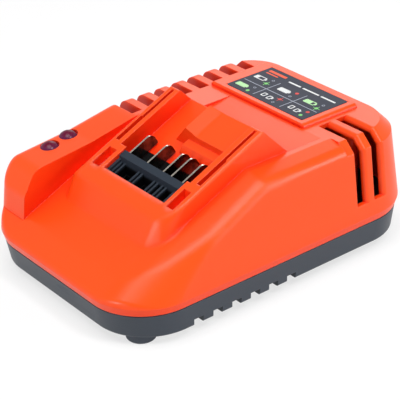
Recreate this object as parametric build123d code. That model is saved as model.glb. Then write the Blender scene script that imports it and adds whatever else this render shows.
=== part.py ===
from build123d import *
import os
from math import atan, cos, degrees, radians, sin, sqrt, tan

# Slide-on battery charger: millimetres, +Z up, +Y from the low front to the label end, +X right.
# The origin is the centre of the footprint, at the underside of the feet.

# ---- Housing outline ------------------------------------------------------------------------
BODY_WIDTH = 120.0          # across the parting line
BODY_LENGTH = 172.6
HALF_WIDTH = BODY_WIDTH / 2
HALF_LENGTH = BODY_LENGTH / 2
CORNER_RADIUS = 28.0
WALL = 2.5
BASE_UNDERSIDE_Z = 4.5
SEAM_Z = 16.6               # parting line of the two half shells
SKIRT_Z = 20.5              # widest line of the upper shell
SKIRT_BULGE = 1.2
WALL_DRAFT = 7.0            # degrees, side walls of the upper shell
BASE_SIDE_INSET = 0.6       # the lower shell narrows this much down to its underside
BASE_END_INSET = 2.2
BASE_EDGE_RADIUS = 1.2
TOP_Z = 60.0                # flat top of the body
FORM_TOP_Z = 80.0           # the tapering walls are drawn up to here, then trimmed
EDGE_RADIUS = 5.0           # front and right-hand edges of the top
NOSE_EDGE_RADIUS = 3.0
REAR_BEVEL = 5.5            # 45 degree bevel round the rear half of the top
SEAM_LIP_INSET = 1.4        # the lower shell's upstanding lip sits behind the upper wall
SEAM_LIP_HEIGHT = 2.0
SEAM_REVEAL = 0.5           # shadow line between the shells
RIM_FALL = 10.0             # degrees, the outer band of the right-hand top falls away
RIM_START_X = HALF_WIDTH - 14.0
RIM_END_Y = HALF_LENGTH - 46.3
CLEAR = 5.0                 # cutting shapes reach this far past what they cut

# ---- Inclined front deck and battery dock ---------------------------------------------------
DECK_SLOPE = 24.3           # degrees
SLOPE = tan(radians(DECK_SLOPE))
COS_SLOPE = cos(radians(DECK_SLOPE))
SIN_SLOPE = sin(radians(DECK_SLOPE))
DECK_FRONT_Z = 25.0         # height of the deck plane over the front parting line
DECK_HEIGHT_AT_ORIGIN = DECK_FRONT_Z + SLOPE * HALF_LENGTH
DECK_END_Y = -HALF_LENGTH + 9.2   # the deck's front edge, where the nose starts to fall
NOSE_SLOPE = 34.0           # degrees
NOSE_RADIUS = 24.0          # the nose rounds into the right-hand wall
NOSE_RIGHT_X = HALF_WIDTH + 2.5
DOCK_RISE = 9.4             # the dock stands this far above the deck, measured upright
DOCK_LEFT = -24.5
DOCK_RIGHT = 42.5
DOCK_TOE_Y = -HALF_LENGTH + 25.8   # foot of the dock's front face
DOCK_BROW_Y = DOCK_TOE_Y + 6.0     # top of the dock's front face
DOCK_CREST_Y = DOCK_TOE_Y + 63.0
DOCK_HEEL_Y = DOCK_TOE_Y + 77.2    # foot of the dock's back face
DOCK_FRONT_RADIUS = 9.0     # big rounded front right corner
DOCK_EDGE_RADIUS = 1.2
GROOVE_INSET = 3.4          # from the dock's side to the groove's centre
GROOVE_WIDTH = 2.6
GROOVE_NARROW_WIDTH = 1.8
GROOVE_DEPTH = 7.5
GROOVE_FRONT_Y = DOCK_TOE_Y + 28.5
GROOVE_JOG_Y = DOCK_TOE_Y + 43.9
GROOVE_BACK_Y = DOCK_CREST_Y - 1.1
POCKET_LEFT = DOCK_LEFT + 7.5
POCKET_RIGHT = DOCK_RIGHT - 8.0
STEP_LEFT = POCKET_LEFT + 25.4
STEP_FLANK = 11.5           # the raised step slopes down to the pocket floor over this width
STEP_DEPTH = 2.9            # below the dock's top
STEP_LIP_DEPTH = 0.8        # the step's left lip rises nearly to the dock's top
STEP_LIP_FALL = 4.0
STEP_LIP_RADIUS = 6.0
STEP_FRONT_Y = DOCK_TOE_Y + 49.0
LOWER_STEP_DEPTH = 5.9
LOWER_STEP_RUN = 3.5
STEP_TOE_RUN = 2.0
OPENING_LEFT = POCKET_LEFT + 4.3
OPENING_RIGHT = POCKET_RIGHT - 2.1
OPENING_FRONT_Y = DOCK_TOE_Y + 14.3
OPENING_BACK_Y = DOCK_TOE_Y + 37.5
RECESS_DEPTH = 5.0
RECESS_FRONT_Y = DOCK_TOE_Y + 13.5
RECESS_BACK_Y = DOCK_TOE_Y + 24.1
LEFT_RECESS = (DOCK_LEFT + 3.5, DOCK_LEFT + 9.1)
RIGHT_RECESS = (DOCK_RIGHT - 7.7, DOCK_RIGHT - 2.9)

# ---- Left ridge -----------------------------------------------------------------------------
RIDGE_INNER_X = -HALF_WIDTH + 26.5
RIDGE_SETBACK = 1.4         # outer wall of the ridge inside the skirt
RIDGE_FRONT_Y = -HALF_LENGTH + 6.7   # at the skirt, before the draft
RIDGE_NOSE_Y = RIDGE_FRONT_Y + 2.3
SKIRT_TOP_Z = 27.8          # ledge beside the ridge
RIDGE_CORNER_RADIUS = 12.0
RIDGE_NOSE_Z = 39.5
RIDGE_BROW = (-HALF_LENGTH + 15.8, 51.0)
RIDGE_SAG = (-HALF_LENGTH + 48.3, 54.8)
RIDGE_JOIN_Y = -HALF_LENGTH + 74.3
RIDGE_ROUND = 6.5           # rounding of the long left top edge

# ---- Label plateau and vents ----------------------------------------------------------------
PLATEAU_LEFT = -36.5
PLATEAU_RIGHT = 30.5
PLATEAU_FRONT_Y = HALF_LENGTH - 49.3
PLATEAU_BACK_Y = HALF_LENGTH - 13.8
PLATEAU_RISE = 2.0
PLATEAU_SIDE_RADIUS = 1.8
LABEL_LEFT = PLATEAU_LEFT + 7.5
LABEL_RIGHT = PLATEAU_RIGHT - 4.4
LABEL_FRONT_Y = PLATEAU_FRONT_Y + 3.5
LABEL_BACK_Y = PLATEAU_BACK_Y - 2.3
LABEL_THICKNESS = 0.3
LABEL_CORNER = 1.2
HOLLOW_LEFT = -20.5
HOLLOW_RIGHT = 43.0
HOLLOW_DEPTH = 2.2          # at the dock's heel, running out at the plateau
LEFT_VENT_COUNT = 8
LEFT_VENT_PITCH = 10.45
LEFT_VENT_FIRST_Y = HALF_LENGTH - 92.1   # far wall of the foremost slot
LEFT_VENT_WIDTH = 5.9
LEFT_VENT_INNER_X = -HALF_WIDTH + 23.0
LEFT_VENT_SILL_Z = 38.0
LEFT_VENT_WALL = 6.0        # the ribs between the slots are this deep
RIGHT_VENT_STARTS = (HALF_LENGTH - 41.7, HALF_LENGTH - 30.9)
RIGHT_VENT_WIDTH = 5.4
RIGHT_VENT_EASE = 2.6       # rounding of each slot's far wall
RIGHT_VENT_INNER_X = PLATEAU_RIGHT + 2.5
RIGHT_VENT_SILL_Z = 28.0
BASE_VENT_COUNT = 6
BASE_VENT_PITCH = 10.82
BASE_VENT_FIRST_Y = -HALF_LENGTH + 36.3
BASE_VENT_WIDTH = 5.4
BASE_VENT_HEIGHT = 3.4
BASE_VENT_DEPTH = 9.0

# ---- Feet, fasteners, cord inlet ------------------------------------------------------------
FOOT_X = HALF_WIDTH - 15.0
FOOT_Y = HALF_LENGTH - 15.3
FOOT_RADIUS = 7.0
FOOT_SEAT_DEPTH = 0.8
FOOT_STUD_RADIUS = 2.4
SCREW_X = HALF_WIDTH - 28.0
SCREW_Y = HALF_LENGTH - 20.3
BOSS_RADIUS = 4.2
BOSS_BORE_RADIUS = 1.35
BOSS_BORE_DEPTH = 12.0
COLUMN_RADIUS = 5.0
COLUMN_TOP_Z = 14.0
SCREW_RADIUS = 1.3
SCREW_HEAD_RADIUS = 2.9
SCREW_HEAD_HEIGHT = 2.2
SCREW_HOLE_RADIUS = 1.8
COUNTERBORE_RADIUS = 3.4
COUNTERBORE_DEPTH = 5.0
SCREW_LENGTH = 16.0
INLET_X = -22.0
INLET_BORE_RADIUS = 3.4
INLET_NECK_RADIUS = 5.4
INLET_FLANGE_RADIUS = 6.8
INLET_FLANGE = 1.6
INLET_PAD_RADIUS = 8.6
INLET_INNER_Y = HALF_LENGTH - 5.8
INLET_SEAT_Y = HALF_LENGTH - 1.7
SMALL_SCREW_RADIUS = 1.1
FOOT_SOLE_RADIUS = 1.4
PLAY = 0.2                  # clearance between seated parts

# ---- Terminals ------------------------------------------------------------------------------
BLADE_XS = (-9.3, 4.0, 15.7, 21.6, 29.7)
BLADE_NAMES = ("positive_blade", "sense_blade", "thermistor_blade", "identity_blade", "negative_blade")
BLADE_THICKNESS = 0.9
BLADE_REACH = 14.7          # top edge along the ramp, past the block's wall
BLADE_TOP_DROP = 1.4        # below the dock's top
BLADE_BOTTOM_DROP = 8.6
BLADE_TIP_RADIUS = 3.6
BLADE_NOSE_RUN = 3.2        # the tip's slanted front
TAIL_WIDTH = 2.6
BLADE_ROOT_COVER = 0.7      # the block's wall closes in front of the blades' roots
TAIL_DROP = 18.0
BLOCK_WALL_Y = DOCK_TOE_Y + 26.5        # back of the upright wall that carries the blades
BLOCK_WALL_THICKNESS = 3.4
BLOCK_WALL_DROP = 0.8
BLOCK_FLOOR_DROP = 9.0
BLOCK_FLANGE = 2.0
FLANGE_SIDE = 9.5
CHEEK = 1.5
CHEEK_DROP = 2.0
COMB_SLOT_WIDTH = 1.4
COMB_RIB = 1.1
COMB_DROP = 3.4
COMB_NOSE = 3.4             # the two ribs of a comb join over this length
COMB_NOSE_DROP = 4.6
WELL_MARGIN = 0.4           # deep wells between the combs
WELL_DROP = 11.0
TERMINAL_SCREW_XS = (-18.0, 38.0)
TERMINAL_SCREW_Y = DOCK_TOE_Y + 18.5
TERMINAL_SCREW_LENGTH = 6.5
LEAD_RADIUS = 0.9

# ---- Inside ---------------------------------------------------------------------------------
BOARD_THICKNESS = 1.6
BOARD_Z = 13.0
BOARD_WIDTH = 102.0
BOARD_FRONT_Y = -50.0
BOARD_BACK_Y = 56.0
BOARD_CORNER = 4.0
STANDOFF_RADIUS = 3.2
BOARD_SCREW_X = 46.0
BOARD_SCREW_Y = 44.0
LENS_RADIUS = 4.5
LENS_HEIGHT = 2.6
LENS_STEM_RADIUS = 3.4
LENS_STEM_LENGTH = 4.2
LENS_SINK = 0.7             # the seat lies this far below the ridge's top
LENS_CENTRES = ((-HALF_WIDTH + 13.0, -HALF_LENGTH + 33.3), (-HALF_WIDTH + 11.5, -HALF_LENGTH + 45.0))
LENS_NAMES = ("power_indicator_lens", "charge_indicator_lens")
LED_RADIUS = 2.5
INDICATOR_BOARD_Z = 40.0
INDICATOR_POSTS = ((-HALF_WIDTH + 14.0, -HALF_LENGTH + 25.3), (-HALF_WIDTH + 14.0, -HALF_LENGTH + 55.3))
INDICATOR_BOARD_X = (-HALF_WIDTH + 7.0, -HALF_WIDTH + 20.0)
INDICATOR_BOARD_Y = (-HALF_LENGTH + 21.8, -HALF_LENGTH + 58.8)
INDICATOR_LEAD_X = -HALF_WIDTH + 16.0
INDICATOR_POST_RADIUS = 2.6
CORE_SIZE = (36.0, 12.0, 32.0)
CORE_PLACE = (2.0, 26.0)
CORE_LEG = 10.0
CORE_YOKE = 5.5
INPUT_CAPACITOR = (-28.0, 24.0)
OUTPUT_CAPACITORS = ((14.0, -14.0), (14.0, -28.0))
HEAT_SINK_X = 36.0
HEAT_SINK_Y = (-32.0, 22.0)
BOBBIN_FOOT = 2.5
CHOKE_PLACE = (-36.0, -8.0)
CHOKE_RADIUS = 9.0
CHOKE_HOLE = 4.5
CHOKE_WIDTH = 7.0
CHOKE_WIRE = 1.2
BRIDGE_PLACE = (-18.0, -14.0)
CONNECTOR_PLACE = (-22.0, 49.0)
FUSE_PLACE = (-43.0, 22.0)
CHIP_PLACE = (-2.0, -20.0)

DOCK_TOP_AT_ORIGIN = DECK_HEIGHT_AT_ORIGIN + DOCK_RISE
BIG = 300.0
LABEL_Z = TOP_Z + PLATEAU_RISE - 0.2
REAR_SPLIT_Y = LEFT_VENT_FIRST_Y + (LEFT_VENT_COUNT - 1) * LEFT_VENT_PITCH - LEFT_VENT_WIDTH / 2
BOARD_TOP_Z = BOARD_Z + BOARD_THICKNESS


def deck_z(y, below=0.0):
    """Height of the inclined deck plane, less an upright drop."""
    return DECK_HEIGHT_AT_ORIGIN + SLOPE * y - below


def dock_z(y, below=0.0):
    """Height of the dock's top plane, less an upright drop."""
    return DOCK_TOP_AT_ORIGIN + SLOPE * y - below


def box(x0, x1, y0, y1, z0, z1):
    """A block between two corners."""
    return Pos((x0 + x1) / 2, (y0 + y1) / 2, (z0 + z1) / 2) * Box(x1 - x0, y1 - y0, z1 - z0)


def side_prism(points, x0, x1, radii=None):
    """A (y, z) outline carried straight across from x0 to x1, some corners rounded."""
    outline = Polygon(*points, align=None)
    for point, radius in (radii or {}).items():
        corner = outline.vertices().sort_by_distance((point[0], point[1], 0))[0]
        outline = fillet(corner, radius)
    plane = Plane(origin=(x0, 0, 0), x_dir=(0, 1, 0), z_dir=(1, 0, 0))
    return extrude(plane * outline, x1 - x0, dir=(1, 0, 0))


def front_prism(points, y0, y1):
    """An (x, z) outline carried back from y0 to y1."""
    plane = Plane(origin=(0, y1, 0), x_dir=(1, 0, 0), z_dir=(0, -1, 0))
    return extrude(plane * Polygon(*points, align=None), y1 - y0, dir=(0, -1, 0))


def ramp_band(x0, x1, y0, y1, top, bottom):
    """A slab between two drops below the dock's top plane, with upright ends."""
    points = ((y0, dock_z(y0, bottom)), (y1, dock_z(y1, bottom)),
              (y1, dock_z(y1, top)), (y0, dock_z(y0, top)))
    return side_prism(points, x0, x1)


def outline_at(inset, z):
    """The rounded rectangle of the housing at one height."""
    section = RectangleRounded(BODY_WIDTH - 2 * inset, BODY_LENGTH - 2 * inset, CORNER_RADIUS - inset)
    return Pos(0, 0, z) * section


def wall_form(inset):
    """The outer walls above the parting line: flared skirt, then drafted walls, moved in by the inset."""
    flare = degrees(atan(SKIRT_BULGE / (SKIRT_Z - SEAM_Z)))
    skirt = extrude(outline_at(inset, SEAM_Z), SKIRT_Z - SEAM_Z, taper=-flare)
    walls = extrude(outline_at(inset - SKIRT_BULGE, SKIRT_Z), FORM_TOP_Z - SKIRT_Z, taper=WALL_DRAFT)
    return skirt + walls


def nose_form(inset):
    """Everything under the falling nose, whose right side rounds into the wall."""
    lean = radians(NOSE_SLOPE)
    height = deck_z(DECK_END_Y) * cos(lean) - DECK_END_Y * sin(lean) - inset
    right = NOSE_RIGHT_X - inset
    outline = Polygon((-BIG, -height), (right, -height), (right, BIG), (-BIG, BIG), align=None)
    corner = outline.vertices().sort_by_distance((right, -height, 0))[0]
    plane = Plane(origin=(0, 0, 0), x_dir=(1, 0, 0), z_dir=(0, cos(lean), sin(lean)))
    return extrude(plane * fillet(corner, NOSE_RADIUS - inset), BIG, both=True)


def main_form(inset):
    """Deck and flat top between the walls, with the falling rim on the right and the nose in front."""
    drop = inset / COS_SLOPE
    top = TOP_Z - inset
    bend_y = (top - DECK_HEIGHT_AT_ORIGIN + drop) / SLOPE
    outline = ((-BIG, deck_z(-BIG, drop)), (bend_y, top), (BIG, top), (BIG, -BIG), (-BIG, -BIG))
    body = wall_form(inset) & side_prism(outline, -BIG, BIG) & nose_form(inset)
    fall = tan(radians(RIM_FALL))
    rim_x = RIM_START_X - inset
    reach = BODY_WIDTH / 3
    wedge = Polygon((rim_x, 0), (rim_x + reach, -reach * fall), (rim_x + reach, reach),
                    (rim_x, reach), align=None)
    at_bend = Plane(origin=(0, bend_y, top), x_dir=(1, 0, 0), z_dir=(0, -1, 0)) * wedge
    body -= extrude(at_bend, RIM_END_Y - bend_y, dir=(0, 1, 0))
    return body - extrude(at_bend, BODY_LENGTH, dir=(0, -COS_SLOPE, -SIN_SLOPE))


def rear_bevel(inset):
    """What a 45 degree bevel takes off the top edge, round the rear half."""
    start = TOP_Z - REAR_BEVEL
    at_start = (start - SKIRT_Z) * tan(radians(WALL_DRAFT)) - SKIRT_BULGE + inset * (sqrt(2) - 1)
    kept = extrude(outline_at(at_start, start - inset), REAR_BEVEL + inset + CLEAR, taper=45)
    rear = box(-BIG, BIG, REAR_SPLIT_Y, BIG, start - inset, TOP_Z + CLEAR)
    rear += box(0, BIG, RIM_END_Y - inset, BIG, start - inset, TOP_Z + CLEAR)
    return rear - kept


def left_wing(inset):
    """The ridge on the left and the flat strip behind it, with the long rounded edge."""
    left = -HALF_WIDTH - SKIRT_BULGE + RIDGE_SETBACK + inset
    front = RIDGE_FRONT_Y + inset
    back = HALF_LENGTH + SKIRT_BULGE - inset
    top = TOP_Z - inset
    plan = Polygon((left, front), (BIG, front), (BIG, back), (left, back), align=None)
    plan = fillet(plan.vertices().sort_by_distance((left, front, 0))[0], RIDGE_CORNER_RADIUS - inset)
    plan = fillet(plan.vertices().sort_by_distance((left, back, 0))[0], CORNER_RADIUS + SKIRT_BULGE - inset)
    block = extrude(Pos(0, 0, SKIRT_Z) * plan, FORM_TOP_Z - SKIRT_Z, taper=WALL_DRAFT)
    brow = (RIDGE_BROW[0] + inset * 0.4, RIDGE_BROW[1] - inset)
    sag = (RIDGE_SAG[0], RIDGE_SAG[1] - inset)
    join = (RIDGE_JOIN_Y, top)
    points = ((-BIG, 0), (-BIG, RIDGE_NOSE_Z - 30), (RIDGE_NOSE_Y + inset, RIDGE_NOSE_Z - inset / 2),
              brow, sag, join, (BIG, top), (BIG, 0))
    inner = RIDGE_INNER_X - inset
    slab = side_prism(points, -BIG, inner, {brow: 8.0, sag: 30.0, join: 30.0})
    return block & slab


def is_left_top_edge(edge):
    """The long outer edge of the ridge and the strip behind it."""
    middle = edge.center()
    along_x = edge.geom_type == GeomType.LINE and abs((edge @ 1).Y - (edge @ 0).Y) < 0.01
    upright = edge.geom_type == GeomType.LINE and abs((edge @ 1).Z - (edge @ 0).Z) > 25
    return middle.Z > RIDGE_NOSE_Z + 1 and middle.X < -45.5 and not along_x and not upright


def is_shoulder_edge(edge):
    """Where the deck, the nose and the top meet each other and the drafted walls, rear half left out."""
    middle = edge.center()
    start, end = (edge @ 0), (edge @ 1)
    on_wall = middle.X > HALF_WIDTH - 10 or middle.Y < -HALF_LENGTH + 12
    short = abs(start.X - end.X) < 6 and abs(start.Y - end.Y) < 6
    straight = edge.geom_type == GeomType.LINE
    across = straight and abs(start.Y - end.Y) < 0.01 and middle.X > RIM_START_X
    seam = straight and abs(start.X - end.X) < 0.01 and middle.X < HALF_WIDTH - 10
    inside = middle.Z > SKIRT_Z + 2 and middle.Y < RIM_END_Y
    return inside and on_wall and not (short or across or seam)


def rounded_main(main):
    """Soft edges round the top of the deck, then a smaller rounding where the nose meets the wall."""
    crease_z = deck_z(DECK_END_Y)
    upper = main.edges().filter_by(is_shoulder_edge)
    upper = upper.filter_by(lambda e: min((e @ 0).Z, (e @ 1).Z) > crease_z - 0.2)
    main = fillet(upper, EDGE_RADIUS)
    lower = main.edges().filter_by(is_shoulder_edge)
    lower = lower.filter_by(lambda e: min((e @ 0).Z, (e @ 1).Z) <= crease_z - 0.2)
    lower = lower.filter_by(lambda e: max((e @ 0).Z, (e @ 1).Z) < RIDGE_BROW[1] - 3)
    return fillet(lower, NOSE_EDGE_RADIUS)


def housing_form(inset, rounded=True):
    """The outer shape without the dock; the inside face is the same shape moved in by the wall."""
    main = main_form(inset)
    if rounded:
        main = rounded_main(main)
    main -= box(-BIG, RIDGE_INNER_X - inset, -BIG, BIG, SKIRT_TOP_Z - inset, BIG)
    wing = left_wing(inset)
    soft = fillet(wing.edges().filter_by(is_left_top_edge), RIDGE_ROUND - inset)
    soft &= box(-BIG, BIG, -BIG, REAR_SPLIT_Y, 0, BIG)
    wing &= box(-BIG, BIG, REAR_SPLIT_Y, BIG, 0, BIG)
    return main + soft + wing - rear_bevel(inset)


# ---- Battery dock ---------------------------------------------------------------------------
def dock_block():
    """The raised block that the battery slides onto, solid, with its rounded front corner."""
    toe = (DOCK_TOE_Y, deck_z(DOCK_TOE_Y))
    brow = (DOCK_BROW_Y, dock_z(DOCK_BROW_Y))
    crest = (DOCK_CREST_Y, dock_z(DOCK_CREST_Y))
    heel = (DOCK_HEEL_Y, TOP_Z)
    lean = (brow[0] - toe[0]) / (brow[1] - toe[1])
    fall = (heel[0] - crest[0]) / (crest[1] - heel[1])
    sink = WALL + 1
    points = ((toe[0] - lean * sink, toe[1] - sink), brow, crest,
              (heel[0] + fall * sink, heel[1] - sink), (DOCK_BROW_Y + sink, toe[1] - sink))
    block = side_prism(points, DOCK_LEFT, DOCK_RIGHT)
    nose = block.edges().filter_by(lambda e: e.center().X > DOCK_RIGHT - 0.1 and e.center().Y < DOCK_BROW_Y)
    block = fillet(nose.sort_by(Axis.Z)[-1], DOCK_FRONT_RADIUS)
    top = block.edges().filter_by(lambda e: abs(e.center().Z - dock_z(e.center().Y)) < 0.4)
    return fillet(top, DOCK_EDGE_RADIUS)


def dock_front_hollow():
    """Space inside the dock's front, up to the wall before the terminal opening."""
    toe = (DOCK_TOE_Y + WALL, deck_z(DOCK_TOE_Y))
    brow = (DOCK_BROW_Y + WALL, dock_z(DOCK_BROW_Y, WALL / COS_SLOPE))
    end = OPENING_FRONT_Y - WALL
    points = ((toe[0] - 2, toe[1] - 6), toe, brow, (end, dock_z(end, WALL / COS_SLOPE)), (end, toe[1] - 6))
    return side_prism(points, DOCK_LEFT + WALL + 1, DOCK_RIGHT - DOCK_FRONT_RADIUS / 2)


def groove(centre_x, outward):
    """A battery rail slot, wider in its lower half."""
    inner = centre_x - outward * GROOVE_WIDTH / 2
    outer = centre_x + outward * GROOVE_WIDTH / 2
    narrow = inner + outward * GROOVE_NARROW_WIDTH
    wide_slot = ramp_band(min(inner, outer), max(inner, outer), GROOVE_FRONT_Y, GROOVE_JOG_Y,
                          -CLEAR, GROOVE_DEPTH)
    slim_slot = ramp_band(min(inner, narrow), max(inner, narrow), GROOVE_FRONT_Y, GROOVE_BACK_Y,
                          -CLEAR, GROOVE_DEPTH)
    return wide_slot + slim_slot


def dock_cuts():
    """Pocket between the rails, terminal opening, small recesses and the two rail slots."""
    behind = DOCK_HEEL_Y + 5
    pocket = ramp_band(POCKET_LEFT, POCKET_RIGHT, BLOCK_WALL_Y + 1, behind, -5, DOCK_RISE)
    lip = (STEP_LEFT - STEP_LIP_FALL, DOCK_RISE - STEP_LIP_DEPTH)
    tread = DOCK_RISE - STEP_DEPTH
    flank = Polygon((STEP_LEFT - STEP_FLANK, 0), (POCKET_RIGHT, 0), (POCKET_RIGHT, tread), (STEP_LEFT + STEP_LIP_FALL, tread),
                    lip, align=None)
    lip_foot = flank.vertices().sort_by_distance((STEP_LEFT + STEP_LIP_FALL, tread, 0))[0]
    flank = fillet(lip_foot, STEP_LIP_RADIUS)
    start = Plane(origin=(0, STEP_FRONT_Y, deck_z(STEP_FRONT_Y)), x_dir=(1, 0, 0), z_dir=(0, -1, 0))
    upper_step = extrude(start * flank, 2 * HALF_WIDTH, dir=(0, COS_SLOPE, SIN_SLOPE))
    lower_front = STEP_FRONT_Y - LOWER_STEP_RUN
    lower_back = STEP_FRONT_Y + 1
    points = ((lower_front - STEP_TOE_RUN, dock_z(lower_front, DOCK_RISE)),
              (lower_front, dock_z(lower_front, LOWER_STEP_DEPTH)),
              (lower_back, dock_z(lower_back, LOWER_STEP_DEPTH)),
              (lower_back, deck_z(STEP_FRONT_Y)))
    lower_step = side_prism(points, STEP_LEFT - STEP_LIP_FALL / 2, POCKET_RIGHT)
    pocket -= upper_step + lower_step
    opening = ramp_band(OPENING_LEFT, OPENING_RIGHT, OPENING_FRONT_Y, OPENING_BACK_Y, -5, 40)
    recesses = ramp_band(*LEFT_RECESS, RECESS_FRONT_Y, RECESS_BACK_Y, -5, RECESS_DEPTH)
    recesses += ramp_band(*RIGHT_RECESS, RECESS_FRONT_Y, RECESS_BACK_Y, -5, RECESS_DEPTH)
    grooves = groove(DOCK_LEFT + GROOVE_INSET, -1) + groove(DOCK_RIGHT - GROOVE_INSET, 1)
    return pocket + opening + recesses + grooves


# ---- Label plateau and vents ----------------------------------------------------------------
def plateau():
    """Raised plate for the label, its right side rounded."""
    foot = TOP_Z - 1
    lip = 0.6
    points = ((PLATEAU_LEFT, foot), (PLATEAU_LEFT, TOP_Z + PLATEAU_RISE - lip),
              (PLATEAU_LEFT + lip, TOP_Z + PLATEAU_RISE), (PLATEAU_RIGHT, TOP_Z + PLATEAU_RISE),
              (PLATEAU_RIGHT, foot))
    block = front_prism(points, PLATEAU_FRONT_Y, PLATEAU_BACK_Y)
    right = block.edges().filter_by(Axis.Y).sort_by(lambda e: e.center().X + e.center().Z)[-1]
    block = fillet(right, PLATEAU_SIDE_RADIUS)
    top_z = TOP_Z + PLATEAU_RISE
    ends = block.edges().filter_by(lambda e: abs(e.center().Z - top_z) < 0.1).filter_by(Axis.X)
    return chamfer(ends, 0.8)


def hollow_cut():
    """Shallow sloped hollow between the dock's heel and the plateau."""
    floor = TOP_Z - HOLLOW_DEPTH
    points = ((DOCK_CREST_Y, floor), (DOCK_HEEL_Y, floor), (PLATEAU_FRONT_Y, TOP_Z),
              (PLATEAU_FRONT_Y, TOP_Z + DOCK_RISE), (DOCK_CREST_Y, TOP_Z + DOCK_RISE))
    return side_prism(points, HOLLOW_LEFT, HOLLOW_RIGHT)


def left_vents():
    """Slots across the rounded left edge."""
    slots = []
    for index in range(LEFT_VENT_COUNT):
        far = LEFT_VENT_FIRST_Y + index * LEFT_VENT_PITCH
        slots.append(box(-HALF_WIDTH - CLEAR, LEFT_VENT_INNER_X, far - LEFT_VENT_WIDTH, far,
                         LEFT_VENT_SILL_Z, TOP_Z + CLEAR))
    return slots


def with_right_vents(body):
    """Slots over the top, the bevel and the right wall; each slot's far edge is rounded."""
    for start in RIGHT_VENT_STARTS:
        far = start + RIGHT_VENT_WIDTH
        body -= box(RIGHT_VENT_INNER_X, BIG, start, far, RIGHT_VENT_SILL_Z, BIG)
        edges = body.edges().filter_by(lambda e: abs((e @ 0).Y - far) + abs((e @ 1).Y - far) < 0.01)
        edges = edges.filter_by(lambda e: e.center().X > RIGHT_VENT_INNER_X + 1)
        edges = edges.filter_by(lambda e: e.center().Z > RIGHT_VENT_SILL_Z + 1)
        body = fillet(edges, RIGHT_VENT_EASE)
    return body


# ---- Housing shells -------------------------------------------------------------------------
def cylinder_between(x, y, z0, z1, radius):
    """An upright round bar."""
    return Pos(x, y, (z0 + z1) / 2) * Cylinder(radius, z1 - z0)


def inlet_cylinder(radius, y0, y1):
    """A round bar along the cord inlet's axis."""
    return Pos(INLET_X, (y0 + y1) / 2, SEAM_Z) * Rot(90, 0, 0) * Cylinder(radius, y1 - y0)


def screw_places():
    return [(sx * SCREW_X, sy * SCREW_Y) for sx in (-1, 1) for sy in (-1, 1)]


def foot_places():
    return [(sx * FOOT_X, sy * FOOT_Y) for sx in (-1, 1) for sy in (-1, 1)]


def upper_housing():
    """Upper half shell with ridge, dock, plateau, vents and screw bosses."""
    outer = with_right_vents(housing_form(0.0)) + dock_block()
    outer -= hollow_cut() & box(-BIG, BIG, DOCK_HEEL_Y, BIG, 0, BIG)
    outer += plateau()
    inner = housing_form(WALL, rounded=False)
    inner -= Pos(0, 0, -WALL) * hollow_cut()
    vent_backing = box(-BIG, LEFT_VENT_INNER_X + WALL, LEFT_VENT_FIRST_Y - LEFT_VENT_WIDTH - WALL,
                       HALF_LENGTH, LEFT_VENT_SILL_Z - WALL, BIG)
    vent_backing -= housing_form(LEFT_VENT_WALL, rounded=False)
    shell = outer - (inner - vent_backing) - dock_front_hollow()
    shell -= dock_cuts()
    for cut in left_vents():
        shell -= cut
    rebate = extrude(outline_at(SEAM_LIP_INSET - PLAY, SEAM_Z), SEAM_LIP_HEIGHT + PLAY)
    shell -= rebate
    room = housing_form(WALL / 2, rounded=False) + dock_front_hollow()
    for x, y in screw_places():
        boss = cylinder_between(x, y, SEAM_Z, TOP_Z, BOSS_RADIUS) & room
        boss += cylinder_between(x, y, COLUMN_TOP_Z, SEAM_Z, BOSS_RADIUS)
        shell += boss
        shell -= cylinder_between(x, y, COLUMN_TOP_Z, COLUMN_TOP_Z + BOSS_BORE_DEPTH, BOSS_BORE_RADIUS)
    for (x, y) in INDICATOR_POSTS:
        seat_z = INDICATOR_BOARD_Z + BOARD_THICKNESS
        shell += cylinder_between(x, y, seat_z, TOP_Z, INDICATOR_POST_RADIUS) & room
        shell -= cylinder_between(x, y, INDICATOR_BOARD_Z, seat_z + 6, SMALL_SCREW_RADIUS)
    for (x, y) in LENS_CENTRES:
        seat = lens_seat_z(y)
        shell -= cylinder_between(x, y, seat, seat + 6, LENS_RADIUS + PLAY)
        shell -= cylinder_between(x, y, seat - 6, seat, LENS_STEM_RADIUS + PLAY)
    label_recess = box(LABEL_LEFT - PLAY, LABEL_RIGHT + PLAY, LABEL_FRONT_Y - PLAY, LABEL_BACK_Y + PLAY,
                       LABEL_Z, TOP_Z + 5)
    shell -= label_recess
    pad = inlet_cylinder(INLET_PAD_RADIUS, INLET_INNER_Y, HALF_LENGTH)
    pad = pad & housing_form(WALL / 2, rounded=False)
    shell += pad
    shell -= inlet_cylinder(INLET_NECK_RADIUS + PLAY, INLET_INNER_Y - 1, BIG)
    shell -= inlet_cylinder(INLET_FLANGE_RADIUS + PLAY, INLET_SEAT_Y, BIG)
    for x in TERMINAL_SCREW_XS:
        shell -= ramp_screw_hole(x)
    return shell


def lower_form(inset, bottom_z):
    """The lower shell's outer shape: a tray that narrows downward, more at its ends than its sides."""
    share = (SEAM_Z - bottom_z) / (SEAM_Z - BASE_UNDERSIDE_Z)
    width = BODY_WIDTH - 2 * (inset + share * BASE_SIDE_INSET)
    length = BODY_LENGTH - 2 * (inset + share * BASE_END_INSET)
    corner = CORNER_RADIUS - inset - share * BASE_SIDE_INSET
    bottom = Pos(0, 0, bottom_z) * RectangleRounded(width, length, corner)
    return loft([outline_at(inset, SEAM_Z), bottom])


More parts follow.
